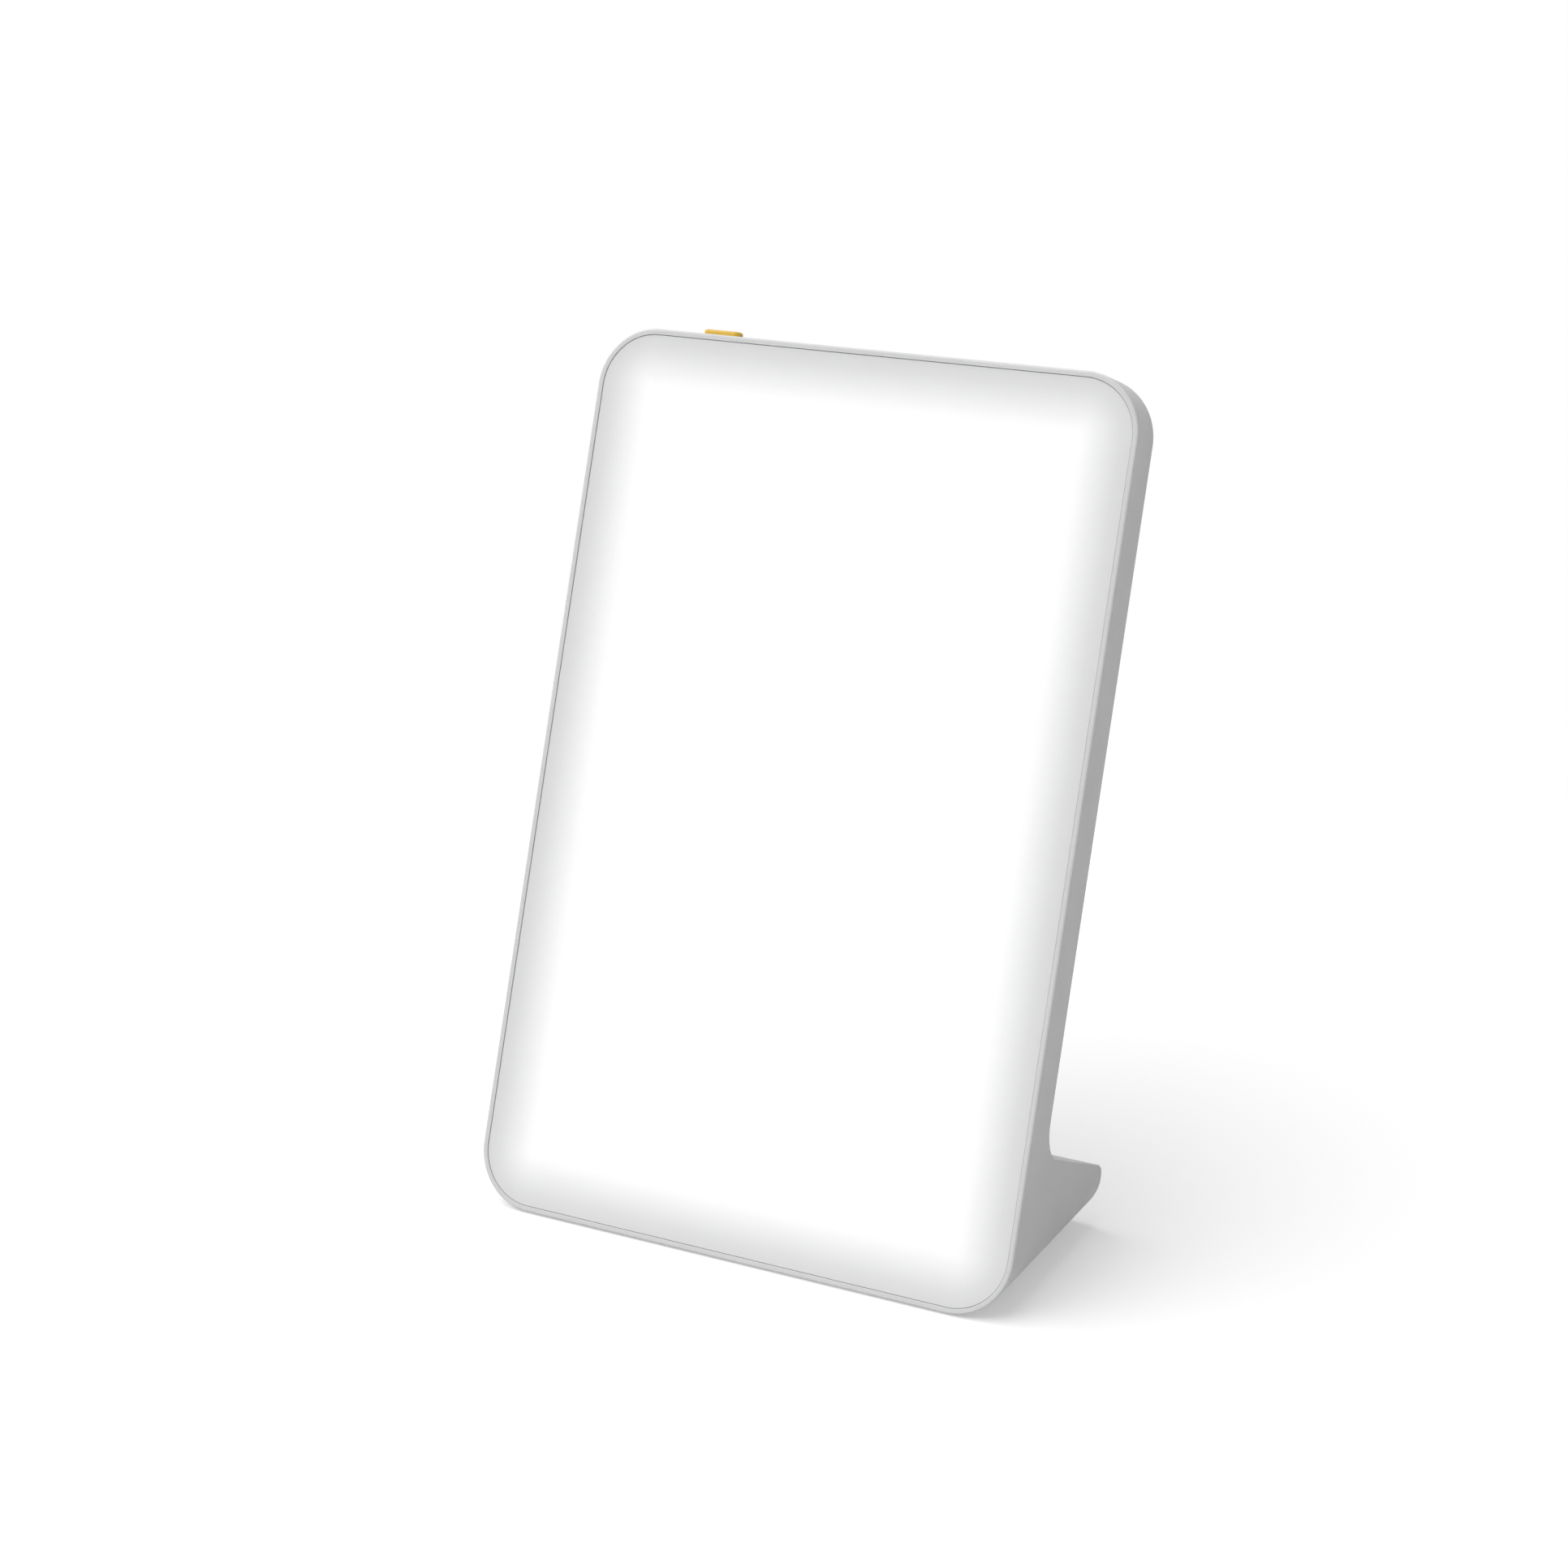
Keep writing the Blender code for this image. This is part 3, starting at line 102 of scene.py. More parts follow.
# Screws
BASE_BOSS_INSET = 0.006
COVER_BOSS_INSET = 0.0075
COVER_BOSS_RISE_SHARES = (0.28, 0.64)
COVER_BOSS_SIDE_INSET = 0.030
PILOT_RADIUS = 0.0018
SCREW_HEAD_RADIUS = 0.0028
SCREW_HEAD_HEIGHT = 0.001
SCREW_SHANK_RADIUS = 0.0015
SCREW_LENGTH = 0.006
SCREW_RECESS_LENGTH = 0.0032
SCREW_RECESS_WIDTH = 0.0007
SCREW_RECESS_DEPTH = 0.0007
SCREW_RECESS_FLOOR_SHARE = 0.7
COUNTERBORE_RADIUS = 0.0032
COUNTERBORE_DEPTH = 0.0014
TURN_SEED = 4

# Power button
BUTTON_LENGTH = 0.018
BUTTON_DEPTH = 0.006
BUTTON_PROUD = 0.0028
BUTTON_EDGE_RADIUS = 0.0011
BUTTON_SIDE_INSET = 0.0525
BUTTON_AXIS_DEPTH = 0.0096
BUTTON_CLEARANCE = 0.0003
FLANGE_THICK = 0.0015
FLANGE_REACH = 0.0018
POST_WIDTH = 0.004
POST_LENGTH = 0.0034

# Inlet
JACK_CENTRE = 0.0142
JACK_WIDTH = 0.009
JACK_HEIGHT = 0.011
JACK_LENGTH = 0.0135
JACK_BORE_RADIUS = 0.0032
JACK_BORE_DEPTH = 0.0095
JACK_PIN_RADIUS = 0.001
JACK_PIN_LENGTH = 0.009
WELL_RADIUS = 0.006
WELL_DEPTH = 0.005
WELL_WALL = 0.0015
WELL_HOLE_RADIUS = 0.004
WELL_LIP_RADIUS = 0.0004

# Boards
STRIP_FRONT = 0.0116
CHIP_STEP = GAP / 3

# Fineness; a cutter with a rounded mouth passes the surface by the mouth lift
ARC_STEPS = 30
SMALL_ARC_STEPS = 10
EDGE_STEPS = 5
TURNED_SIDES = 40
SCREW_SIDES = 20
PIN_SIDES = 24
SHARP_ANGLE = math.radians(32)
WELD = 0.000001
MOUTH_LIFT = 0.00001

# Finishes
NOISE_RANGE = (0.3, 0.7)

# Studio
SENSOR_WIDTH = 36
CAMERA_AZIMUTH = math.radians(27.318)
CAMERA_ELEVATION = math.radians(16.953)
CAMERA_PLACE = (0.56898, -1.05087, 0.6166)
CAMERA_LENS = 72.88
CAMERA_SHIFT = -0.0652
KEY_STRENGTH = 2.85
KEY_SPREAD = math.radians(75)
KEY_FROM = (-0.45, -0.25, 0.86)
SKY_STRENGTH = 0.30
FLOOR_GREY = (0.7, 0.7, 0.7, 1)
FLOOR_LIFT = 0.36
FLOOR_REACH = 20.0
FLOOR_FADE_START = 0.35
FLOOR_FADE_END = 0.75

HALF_WIDTH = PANEL_WIDTH / 2
BUTTON_ACROSS = BUTTON_SIDE_INSET - HALF_WIDTH
RISE_UP = math.cos(LEAN)
RISE_BACK = math.sin(LEAN)
LAMP_DEPTH = PANEL_LENGTH * RISE_BACK + PANEL_THICK * RISE_UP
FRONT_EDGE = Vector((0, -LAMP_DEPTH / 2, RUBBER_PROUD))
COVER_FRONT = PANEL_THICK - COVER_THICK
REAR_LEDGE_BACK = COVER_FRONT - GAP
REAR_LEDGE_FRONT = REAR_LEDGE_BACK - REAR_LEDGE_THICK
BASE_HALF_WIDTH = HALF_WIDTH - CORNER_RADIUS - BASE_SIDE_MARGIN
BASE_REAR = FOOT_LENGTH - BASE_REAR_MARGIN

FLOOR_FRAME = Matrix.Translation(FRONT_EDGE)
PANEL_FRAME = FLOOR_FRAME @ Matrix.Rotation(math.pi / 2 - LEAN, 4, "X")
FRONT_FRAME = FLOOR_FRAME @ Matrix.Rotation(math.pi / 2, 4, "X")
SIDE_FRAME = FLOOR_FRAME @ Matrix.Rotation(math.pi / 2, 4, "Z") @ Matrix.Rotation(math.pi / 2, 4, "X")
BUTTON_FRAME = (PANEL_FRAME @ Matrix.Translation((BUTTON_ACROSS, PANEL_LENGTH, -BUTTON_AXIS_DEPTH))
                @ Matrix.Rotation(-math.pi / 2, 4, "X"))


# Camera

def set_camera():
    """The photograph's viewing angle; the place is measured from the panel's lower front edge."""
    eye = bpy.data.cameras.new("camera")
    eye.sensor_width = SENSOR_WIDTH
    eye.lens = CAMERA_LENS
    eye.shift_y = CAMERA_SHIFT
    eye.clip_end = FLOOR_REACH * 4
    camera = bpy.data.objects.new("camera", eye)
    bpy.context.scene.collection.objects.link(camera)
    camera.location = FRONT_EDGE + Vector(CAMERA_PLACE)
    camera.rotation_euler = (math.pi / 2 - CAMERA_ELEVATION, 0, CAMERA_AZIMUTH)
    bpy.context.scene.camera = camera


# Materials

class Signal:
    """An output of a node; arithmetic on it adds Math nodes."""

    def __init__(self, graph, link):
        self.graph = graph
        self.link = link

    def __add__(self, other):
        return self.graph.math("ADD", self, other)

    def __sub__(self, other):
        return self.graph.math("SUBTRACT", self, other)

    def __rsub__(self, other):
        return self.graph.math("SUBTRACT", other, self)

    def __mul__(self, other):
        return self.graph.math("MULTIPLY", self, other)

    def __abs__(self):
        return self.graph.math("ABSOLUTE", self)

    __radd__ = __add__
    __rmul__ = __mul__


class Graph:
    """A node tree that is written as expressions."""

    def __init__(self, tree):
        self.tree = tree

    def add(self, kind, settings, sockets, output=0):
        """One node: its settings first, then the values or links of its sockets."""
        node = self.tree.nodes.new(kind)
        for name, value in settings.items():
            setattr(node, name, value)
        for key, value in sockets.items():
            if isinstance(value, Signal):
                self.tree.links.new(value.link, node.inputs[key])
            else:
                node.inputs[key].default_value = value
        return Signal(self, node.outputs[output])

    def math(self, operation, first, second=0.0):
        return self.add("ShaderNodeMath", {"operation": operation}, {0: first, 1: second})


class Finish(Graph):
    """A procedural material on the part's own coordinates."""

    def __init__(self, name):
        self.material = bpy.data.materials.new(name)
        self.material.use_nodes = True
        super().__init__(self.material.node_tree)
        self.tree.nodes.clear()
        self.output = self.tree.nodes.new("ShaderNodeOutputMaterial")
        self.place = self.add("ShaderNodeTexCoord", {}, {}, "Object")

    def mapped(self, stretch):
        return self.add("ShaderNodeMapping", {}, {"Vector": self.place, "Scale": stretch})

    def axes(self, vector):
        split = self.add("ShaderNodeSeparateXYZ", {}, {"Vector": vector}).link.node
        return [Signal(self, output) for output in split.outputs]

    def noise(self, size, detail, roughness, vector=None):
        """Cloudy noise, mostly between 0.3 and 0.7, whose grains are about size metres wide."""
        return self.add("ShaderNodeTexNoise", {}, {
            "Vector": vector or self.place, "Scale": 1 / size, "Detail": detail, "Roughness": roughness})

    def cells(self, size):
        """Distance to the nearest of scattered points about size metres apart."""
        return self.add("ShaderNodeTexVoronoi", {}, {"Vector": self.place, "Scale": 1 / size})

    def levels(self, value, low, high, from_low=0.0, from_high=1.0, smooth=False):
        kind = "SMOOTHSTEP" if smooth else "LINEAR"
        return self.add("ShaderNodeMapRange", {"interpolation_type": kind}, {
            "Value": value, "From Min": from_low, "From Max": from_high, "To Min": low, "To Max": high})

    def full(self, noise, low=0, high=1):
        """Noise spread over the whole way from low to high."""
        return self.levels(noise, low, high, *NOISE_RANGE)

    def blend(self, share, first, second):
        """A colour between two colours."""
        return self.add("ShaderNodeMix", {"data_type": "RGBA"},
                        {0: share, 6: opaque(first), 7: opaque(second)}, 2)

    def bump(self, height, depth, strength=1.0, under=None):
        """A Bump node whose full height step is depth metres."""
        sockets = {"Height": height, "Distance": depth, "Strength": strength}
        if under:
            sockets["Normal"] = under
        return self.add("ShaderNodeBump", {}, sockets)

    def shade(self, **values):
        """The Principled shader, with socket names written in lower case and underscores."""
        sockets = {name.replace("_", " ").title().replace("Ior", "IOR"): value
                   for name, value in values.items()}
        shader = self.add("ShaderNodeBsdfPrincipled", {}, sockets)
        self.tree.links.new(shader.link, self.output.inputs["Surface"])
        return self.material


def opaque(colour):
    return colour if isinstance(colour, Signal) else (*colour, 1)


def moulded_plastic(name, colour, roughness=0.5, grain=0.00045, depth=0.000022):
    """Injection-moulded plastic with a fine spark-eroded grain, faint mottling and smoother patches."""
    skin = Finish(name)
    mottle = skin.noise(size=0.035, detail=3, roughness=0.55)
    speckle = skin.noise(size=grain * 1.6, detail=2, roughness=0.6)
    dark = [channel * 0.965 for channel in colour]
    light = [min(channel * 1.03, 1) for channel in colour]
    base = skin.blend(skin.full(mottle * 0.6 + speckle * 0.4), dark, light)
    pits = skin.noise(size=grain, detail=3, roughness=0.65)
    waves = skin.noise(size=0.02, detail=1, roughness=0.4)
    relief = skin.bump(pits, depth=depth, strength=0.55, under=skin.bump(waves, depth=0.00008, strength=0.25))
    patches = skin.noise(size=0.012, detail=2, roughness=0.5)
    gloss = skin.full(patches * 0.7 + pits * 0.3, roughness - 0.05, roughness + 0.08)
    return skin.shade(base_color=base, roughness=gloss, normal=relief, ior=1.46, specular_ior_level=0.35)


def inset_from_rim(skin):
    """How far a point lies inside the panel's rounded outline, along the shortest way."""
    across, back, up = skin.axes(skin.place)
    rise = (back - FRONT_EDGE.y) * RISE_BACK + (up - FRONT_EDGE.z) * RISE_UP
    along = abs(rise - PANEL_LENGTH / 2) - (PANEL_LENGTH / 2 - CORNER_RADIUS)
    beside = abs(across) - (HALF_WIDTH - CORNER_RADIUS)
    out_along = skin.math("MAXIMUM", along, 0.0)
    out_beside = skin.math("MAXIMUM", beside, 0.0)
    corner = skin.math("SQRT", out_along * out_along + out_beside * out_beside)
    straight = skin.math("MINIMUM", skin.math("MAXIMUM", along, beside), 0.0)
    return CORNER_RADIUS - corner - straight


def lit_opal():
    """Opal sheet lit from behind: full in the middle, fading towards the rim, with a satin face."""
    skin = Finish("opal_diffuser")
    inset = inset_from_rim(skin)
    rim_light = skin.levels(inset, 0.0, GLOW_AT_KNEE, GLOW_START_INSET, GLOW_KNEE_INSET)
    spread = skin.levels(inset, 0.0, GLOW_GAIN_TO_FULL, GLOW_KNEE_INSET, GLOW_FULL_INSET)
    flicker = skin.full(skin.noise(size=0.004, detail=2, roughness=0.5), 0.985, 1.015)
    glow = (rim_light + spread) * flicker
    warm = skin.blend(glow * 3.0, (1.0, 1.0, 1.0), (1.0, 1.0, 0.995))
    light = skin.add("ShaderNodeVectorMath", {"operation": "SCALE"}, {0: warm, "Scale": glow})
    cloud = skin.noise(size=0.03, detail=2, roughness=0.5)
    satin = skin.noise(size=0.00025, detail=2, roughness=0.6)
    return skin.shade(base_color=skin.blend(cloud, (0.717, 0.719, 0.720), (0.735, 0.737, 0.738)),
                      roughness=skin.full(satin, 0.42, 0.55), emission_color=light, emission_strength=1.0,
                      normal=skin.bump(satin, depth=0.000008, strength=0.35), ior=1.49,
                      specular_ior_level=0.3)


def button_plastic():
    """Warm yellow moulding, fairly glossy all over, with faint clouding and a fine grain."""
    skin = Finish("yellow_button_plastic")
    cloud = skin.noise(size=0.004, detail=3, roughness=0.5)
    grain = skin.noise(size=0.00022, detail=2, roughness=0.6)
    return skin.shade(base_color=skin.blend(skin.full(cloud), (0.66, 0.405, 0.030), (0.74, 0.475, 0.045)),
                      roughness=skin.full(cloud * 0.5 + grain * 0.5, 0.24, 0.36),
                      normal=skin.bump(grain, depth=0.000006, strength=0.4), ior=1.49, specular_ior_level=0.5)


def soft_rubber():
    """Black rubber with fine pores and a little dust."""
    skin = Finish("foot_rubber")
    dust = skin.noise(size=0.0012, detail=4, roughness=0.65)
    worn = skin.levels(dust, 0, 1, 0.35, 0.75)
    pores = skin.cells(size=0.0006)
    return skin.shade(base_color=skin.blend(worn, (0.020, 0.020, 0.021), (0.060, 0.059, 0.057)),
                      roughness=skin.levels(dust, 0.72, 0.9), specular_ior_level=0.3,
                      normal=skin.bump(pores + dust, depth=0.00003, strength=0.5))


def worked_metal(name, colour, roughness, stretch=(1, 1, 1)):
    """Bare or plated metal with fine drawn marks and a few dull stains."""
    skin = Finish(name)
    marks = skin.noise(size=0.0008, detail=4, roughness=0.6, vector=skin.mapped(stretch))
    stains = skin.noise(size=0.006, detail=3, roughness=0.6)
    dull = [channel * 0.86 for channel in colour]
    base = skin.blend(skin.levels(marks * 0.5 + stains * 0.5, 0, 1, 0.35, 0.65), dull, colour)
    gloss = skin.full(marks * 0.6 + stains * 0.4, roughness - 0.07, roughness + 0.12)
    return skin.shade(base_color=base, metallic=1.0, roughness=gloss,
                      normal=skin.bump(marks, depth=0.000012, strength=0.4))


def circuit_board():
    """Green solder mask over faint copper runs."""
    skin = Finish("green_circuit_board")
    runs = skin.add("ShaderNodeTexBrick", {"offset": 0.37, "squash": 1.0}, {
        "Vector": skin.place, "Scale": 130.0, "Mortar Size": 0.06, "Brick Width": 0.9,
        "Row Height": 0.35}, "Fac")
    cloud = skin.noise(size=0.004, detail=2, roughness=0.5)
    green = skin.blend(runs, (0.020, 0.135, 0.060), (0.045, 0.215, 0.095))
    return skin.shade(base_color=skin.blend(cloud * 0.3, green, (0.015, 0.10, 0.05)),
                      roughness=skin.levels(cloud, 0.25, 0.42), coat_weight=0.2,
                      normal=skin.bump(runs, depth=0.00003, strength=0.6))


def led_board():
    """White solder mask, and yellow phosphor on the chips that stand proud of it."""
    skin = Finish("led_strip_board")
    across, back, up = skin.axes(skin.place)
    depth = (back - FRONT_EDGE.y) * RISE_UP - (up - FRONT_EDGE.z) * RISE_BACK
    proud = skin.math("LESS_THAN", depth, STRIP_FRONT - CHIP_STEP)
    cloud = skin.noise(size=0.003, detail=2, roughness=0.5)
    mask = skin.blend(cloud, (0.84, 0.84, 0.82), (0.90, 0.90, 0.885))
    phosphor = skin.blend(cloud, (0.80, 0.66, 0.16), (0.90, 0.78, 0.26))
    return skin.shade(base_color=skin.blend(proud, mask, phosphor), roughness=skin.levels(cloud, 0.3, 0.48),
                      normal=skin.bump(cloud, depth=0.00002, strength=0.3))


def plain_moulding(name, colour, roughness, size=0.0006, depth=0.000015):
    """Small inner mouldings and sleeves, with a fine grain and slight mottling."""
    skin = Finish(name)
    cloud = skin.noise(size=size * 8, detail=3, roughness=0.55)
    grain = skin.noise(size=size, detail=2, roughness=0.6)
    dark = [channel * 0.85 for channel in colour]
    return skin.shade(base_color=skin.blend(skin.full(cloud), dark, colour),
                      roughness=skin.levels(grain, roughness - 0.06, roughness + 0.08),
                      normal=skin.bump(grain, depth=depth, strength=0.4))


def studio_floor():
    """A pale floor that keeps the shadow and turns to plain white away from the lamp."""
    sheet = Finish("studio_floor")
    across, back, up = sheet.axes(sheet.place)
    reach = sheet.math("SQRT", across * across + back * back)
    rays = sheet.add("ShaderNodeLightPath", {}, {}).link.node.outputs
    seen = sheet.math("MAXIMUM", Signal(sheet, rays["Is Camera Ray"]),
                      sheet.math("MAXIMUM", Signal(sheet, rays["Is Glossy Ray"]),
                                 Signal(sheet, rays["Is Transmission Ray"])))
    lit = sheet.add("ShaderNodeBsdfDiffuse", {}, {"Color": FLOOR_GREY})
    lift = sheet.add("ShaderNodeEmission", {}, {"Color": (1, 1, 1, 1), "Strength": seen * FLOOR_LIFT})
    near = sheet.add("ShaderNodeAddShader", {}, {0: lit, 1: lift})
    white = sheet.add("ShaderNodeEmission", {}, {"Color": (1, 1, 1, 1), "Strength": 1.0})
    far = sheet.levels(reach, 0, 1, FLOOR_FADE_START, FLOOR_FADE_END, smooth=True) * seen
    mixed = sheet.add("ShaderNodeMixShader", {}, {0: far, 1: near, 2: white})
    sheet.tree.links.new(mixed.link, sheet.output.inputs["Surface"])
    return sheet.material


def set_sky():
    """White behind the object and in its reflections, and a plain even light from all sides."""
    world = bpy.data.worlds.new("studio sky")
    world.use_nodes = True
    bpy.context.scene.world = world
    sky = Graph(world.node_tree)
    sky.tree.nodes.clear()
    output = sky.tree.nodes.new("ShaderNodeOutputWorld")
    rays = sky.add("ShaderNodeLightPath", {}, {}).link.node.outputs
    seen = sky.math("MAXIMUM", Signal(sky, rays["Is Camera Ray"]),
                    sky.math("MAXIMUM", Signal(sky, rays["Is Glossy Ray"]),
                             Signal(sky, rays["Is Transmission Ray"])))
    strength = seen * (1 - SKY_STRENGTH) + SKY_STRENGTH
    light = sky.add("ShaderNodeBackground", {}, {"Color": (1, 1, 1, 1), "Strength": strength})
    sky.tree.links.new(light.link, output.inputs["Surface"])


def set_studio():
    """A broad soft key from above on the left, and a floor under the feet."""
    key = bpy.data.lights.new("key_light", "SUN")
    key.energy = KEY_STRENGTH
    key.angle = KEY_SPREAD
    lamp = bpy.data.objects.new("key_light", key)
    bpy.context.scene.collection.objects.link(lamp)
    lamp.rotation_euler = Vector(KEY_FROM).to_track_quat("Z", "Y").to_euler()
    form = bmesh.new()
    bmesh.ops.create_grid(form, x_segments=1, y_segments=1, size=FLOOR_REACH)
    mesh = bpy.data.meshes.new("studio_floor")
    form.to_mesh(mesh)
    form.free()
    floor = linked("studio_floor", mesh)
    mesh.materials.append(studio_floor())


# Outlines

def rounded(corners, steps=ARC_STEPS):
    """Points of a closed outline whose (x, y, radius) corners are arcs of that many steps."""
    points = []
    for index, (x, y, radius) in enumerate(corners):
        corner = Vector((x, y))
        back = (Vector(corners[index - 1][:2]) - corner).normalized()
        ahead = (Vector(corners[(index + 1) % len(corners)][:2]) - corner).normalized()
        half_angle = back.angle(ahead) / 2
        centre = corner + (back + ahead).normalized() * radius / math.sin(half_angle)
        start = corner + back * radius / math.tan(half_angle) - centre
        stop = corner + ahead * radius / math.tan(half_angle) - centre
        turn = -start.angle_signed(stop) if radius > WELD else 0
        for step in range(steps + 1):
            points.append(centre + Matrix.Rotation(turn * step / steps, 2) @ start)
    return points


def inset(corners, amounts):
    """Move each side of an anticlockwise outline inwards, with its corner radii following."""
    if not isinstance(amounts, (list, tuple)):
        amounts = [amounts] * len(corners)
    moved = []
    for index, (x, y, radius) in enumerate(corners):
        here = Vector((x, y))
        along_before = (here - Vector(corners[index - 1][:2])).normalized()
        along_after = (Vector(corners[(index + 1) % len(corners)][:2]) - here).normalized()
        bend = along_before.cross(along_after)
        shift_before = amounts[index - 1]
        shift_after = amounts[index]
        shift = (along_after * shift_before - along_before * shift_after) / bend
        change = (shift_before + shift_after) / 2
        new_radius = radius and (radius - change if bend > 0 else radius + change)
        moved.append((*(here + shift), max(new_radius, 0)))
    return moved


def rectangle(left, right, low, high, low_radius=0.0, high_radius=0.0):
    return [(left, low, low_radius), (right, low, low_radius), (right, high, high_radius),
            (left, high, high_radius)]


def stadium(length, depth):
    return rectangle(-length / 2, length / 2, -depth / 2, depth / 2, depth / 2, depth / 2)


def round_hole(x, y, radius):
    return rectangle(x - radius, x + radius, y - radius, y + radius, radius, radius)


def front_corners():
    return rectangle(-HALF_WIDTH, HALF_WIDTH, 0, PANEL_LENGTH, CORNER_RADIUS, CORNER_RADIUS)


def cover_corners(margin):
    edge = WALL + margin
    return rectangle(edge - HALF_WIDTH, HALF_WIDTH - edge, COVER_BOTTOM_RISE + margin, PANEL_LENGTH - edge,
                     COVER_CORNER_RADIUS, CORNER_RADIUS - edge)


def base_corners(margin):
    return rectangle(margin - BASE_HALF_WIDTH, BASE_HALF_WIDTH - margin, BASE_FRONT_MARGIN + margin,
                     BASE_REAR - margin, BASE_CORNER_RADIUS, BASE_CORNER_RADIUS)


def side_corners():
    """The casing's side outline, as (back, up): front edge, foot, neck and top, anticlockwise."""
    top_front = Vector((PANEL_LENGTH * RISE_BACK, PANEL_LENGTH * RISE_UP))
    top_rear = top_front + PANEL_THICK * Vector((RISE_UP, -RISE_BACK))
    foot_rise = math.tan(FOOT_SLOPE)
    foot_top_at_front = FOOT_REAR_HEIGHT + foot_rise * FOOT_LENGTH
    offset = PANEL_THICK / RISE_UP
    neck_height = (foot_top_at_front - foot_rise * offset) / (1 + foot_rise * math.tan(LEAN))
    neck_back = offset + neck_height * math.tan(LEAN)
    return [(0, 0, 0), (FOOT_LENGTH, 0, 0), (FOOT_LENGTH, FOOT_REAR_HEIGHT, FOOT_REAR_RADIUS),
            (neck_back, neck_height, NECK_RADIUS), (*top_rear, 0), (*top_front, 0)]


def cover_screw_places():
    side = HALF_WIDTH - COVER_BOSS_INSET
    top = HALF_WIDTH - COVER_BOSS_SIDE_INSET
    places = [(hand * side, share * PANEL_LENGTH) for share in COVER_BOSS_RISE_SHARES for hand in (-1, 1)]
    return places + [(hand * top, PANEL_LENGTH - COVER_BOSS_INSET) for hand in (-1, 1)]


def base_screw_places():
    across = BASE_HALF_WIDTH - BASE_BOSS_INSET
    return [(hand * across, back) for hand in (-1, 1)
            for back in (BASE_FRONT_MARGIN + BASE_BOSS_INSET, BASE_REAR - BASE_BOSS_INSET)]


def foot_places():
    across = BASE_HALF_WIDTH - RUBBER_INSET
    return [(hand * across, back) for hand in (-1, 1)
            for back in (BASE_FRONT_MARGIN + RUBBER_INSET / 2, BASE_REAR - RUBBER_INSET / 2)]


# Solids

def linked(name, mesh):
    obj = bpy.data.objects.new(name, mesh)
    bpy.context.scene.collection.objects.link(obj)
    return obj


def stacked(name, rings, place):
    """A closed solid through like outlines at rising heights along the place's Z."""
    form = bmesh.new()
    loops = [[form.verts.new(place @ Vector((x, y, z))) for x, y in outline] for outline, z in rings]
    for low, high in zip(loops, loops[1:]):
        for index in range(len(low)):
            after = (index + 1) % len(low)
            form.faces.new((low[index], low[after], high[after], high[index]))
    form.faces.new(loops[0][::-1])
    form.faces.new(loops[-1])
    bmesh.ops.remove_doubles(form, verts=form.verts, dist=WELD)
    bmesh.ops.recalc_face_normals(form, faces=form.faces)
    mesh = bpy.data.meshes.new(name)
    form.to_mesh(mesh)
    form.free()
    return linked(name, mesh)


def straight(name, corners, place, low, high, steps=ARC_STEPS):
    outline = rounded(corners, steps)
    return stacked(name, [(outline, low), (outline, high)], place)


def pillowed(name, corners, place, low, high, low_radius, high_radius, steps=ARC_STEPS):
    """A slab whose lower and upper edges are rounded over."""
    rings = []
    for step in range(EDGE_STEPS + 1 if low_radius else 0):
        turn = math.pi / 2 * step / EDGE_STEPS
        margin = low_radius * (1 - math.sin(turn))
        rings.append((rounded(inset(corners, margin), steps), low + low_radius * (1 - math.cos(turn))))
    if not low_radius:
        rings.append((rounded(corners, steps), low))
    for step in range(EDGE_STEPS + 1 if high_radius else 0):
        turn = math.pi / 2 * step / EDGE_STEPS
        margin = high_radius * (1 - math.cos(turn))
        rings.append((rounded(inset(corners, margin), steps), high - high_radius * (1 - math.sin(turn))))
    if not high_radius:
        rings.append((rounded(corners, steps), high))
    return stacked(name, rings, place)


def flared(name, corners, place, bottom, mouth, lip, steps=ARC_STEPS):
    """A cutter whose mouth opens out, so that the edge it leaves is rounded over."""
    rings = [(rounded(corners, steps), bottom)]
    for step in range(EDGE_STEPS + 1):
        turn = math.pi / 2 * step / EDGE_STEPS
        margin = -lip * (1 - math.cos(turn))
        height = mouth + MOUTH_LIFT - lip * (1 - math.sin(turn))
        rings.append((rounded(inset(corners, margin), steps), height))
    rings.append((rings[-1][0], mouth + OVERRUN))
    return stacked(name, rings, place)


def turned(name, profile, sides=TURNED_SIDES):
    """A closed solid turned about Z from (radius, height) points that start and end on the axis."""
    form = bmesh.new()
    rings = []
    for radius, height in profile:
        turns = [2 * math.pi * index / sides for index in range(sides)]
        rings.append([form.verts.new((radius * math.cos(turn), radius * math.sin(turn), height))
                      for turn in turns])
    for low, high in zip(rings, rings[1:]):
        for index in range(sides):
            after = (index + 1) % sides
            form.faces.new((low[index], low[after], high[after], high[index]))
    bmesh.ops.remove_doubles(form, verts=form.verts, dist=WELD)
    bmesh.ops.recalc_face_normals(form, faces=form.faces)
    mesh = bpy.data.meshes.new(name)
    form.to_mesh(mesh)
    form.free()
    return linked(name, mesh)


def arc(centre_x, centre_y, radius, start, stop):
    """Points of an arc, with angles in degrees."""
    turns = [math.radians(start + (stop - start) * step / EDGE_STEPS) for step in range(EDGE_STEPS + 1)]
    return [(centre_x + radius * math.cos(turn), centre_y + radius * math.sin(turn)) for turn in turns]


def combine(obj, operation, *tools):
    """Cut, join or intersect with the tools, which are then gone."""
    for tool in tools:
        step = obj.modifiers.new(tool.name, "BOOLEAN")
        step.operation = operation
        step.solver = "EXACT"
        step.object = tool
        weld(settle(obj))
        bpy.data.objects.remove(tool)
    return obj


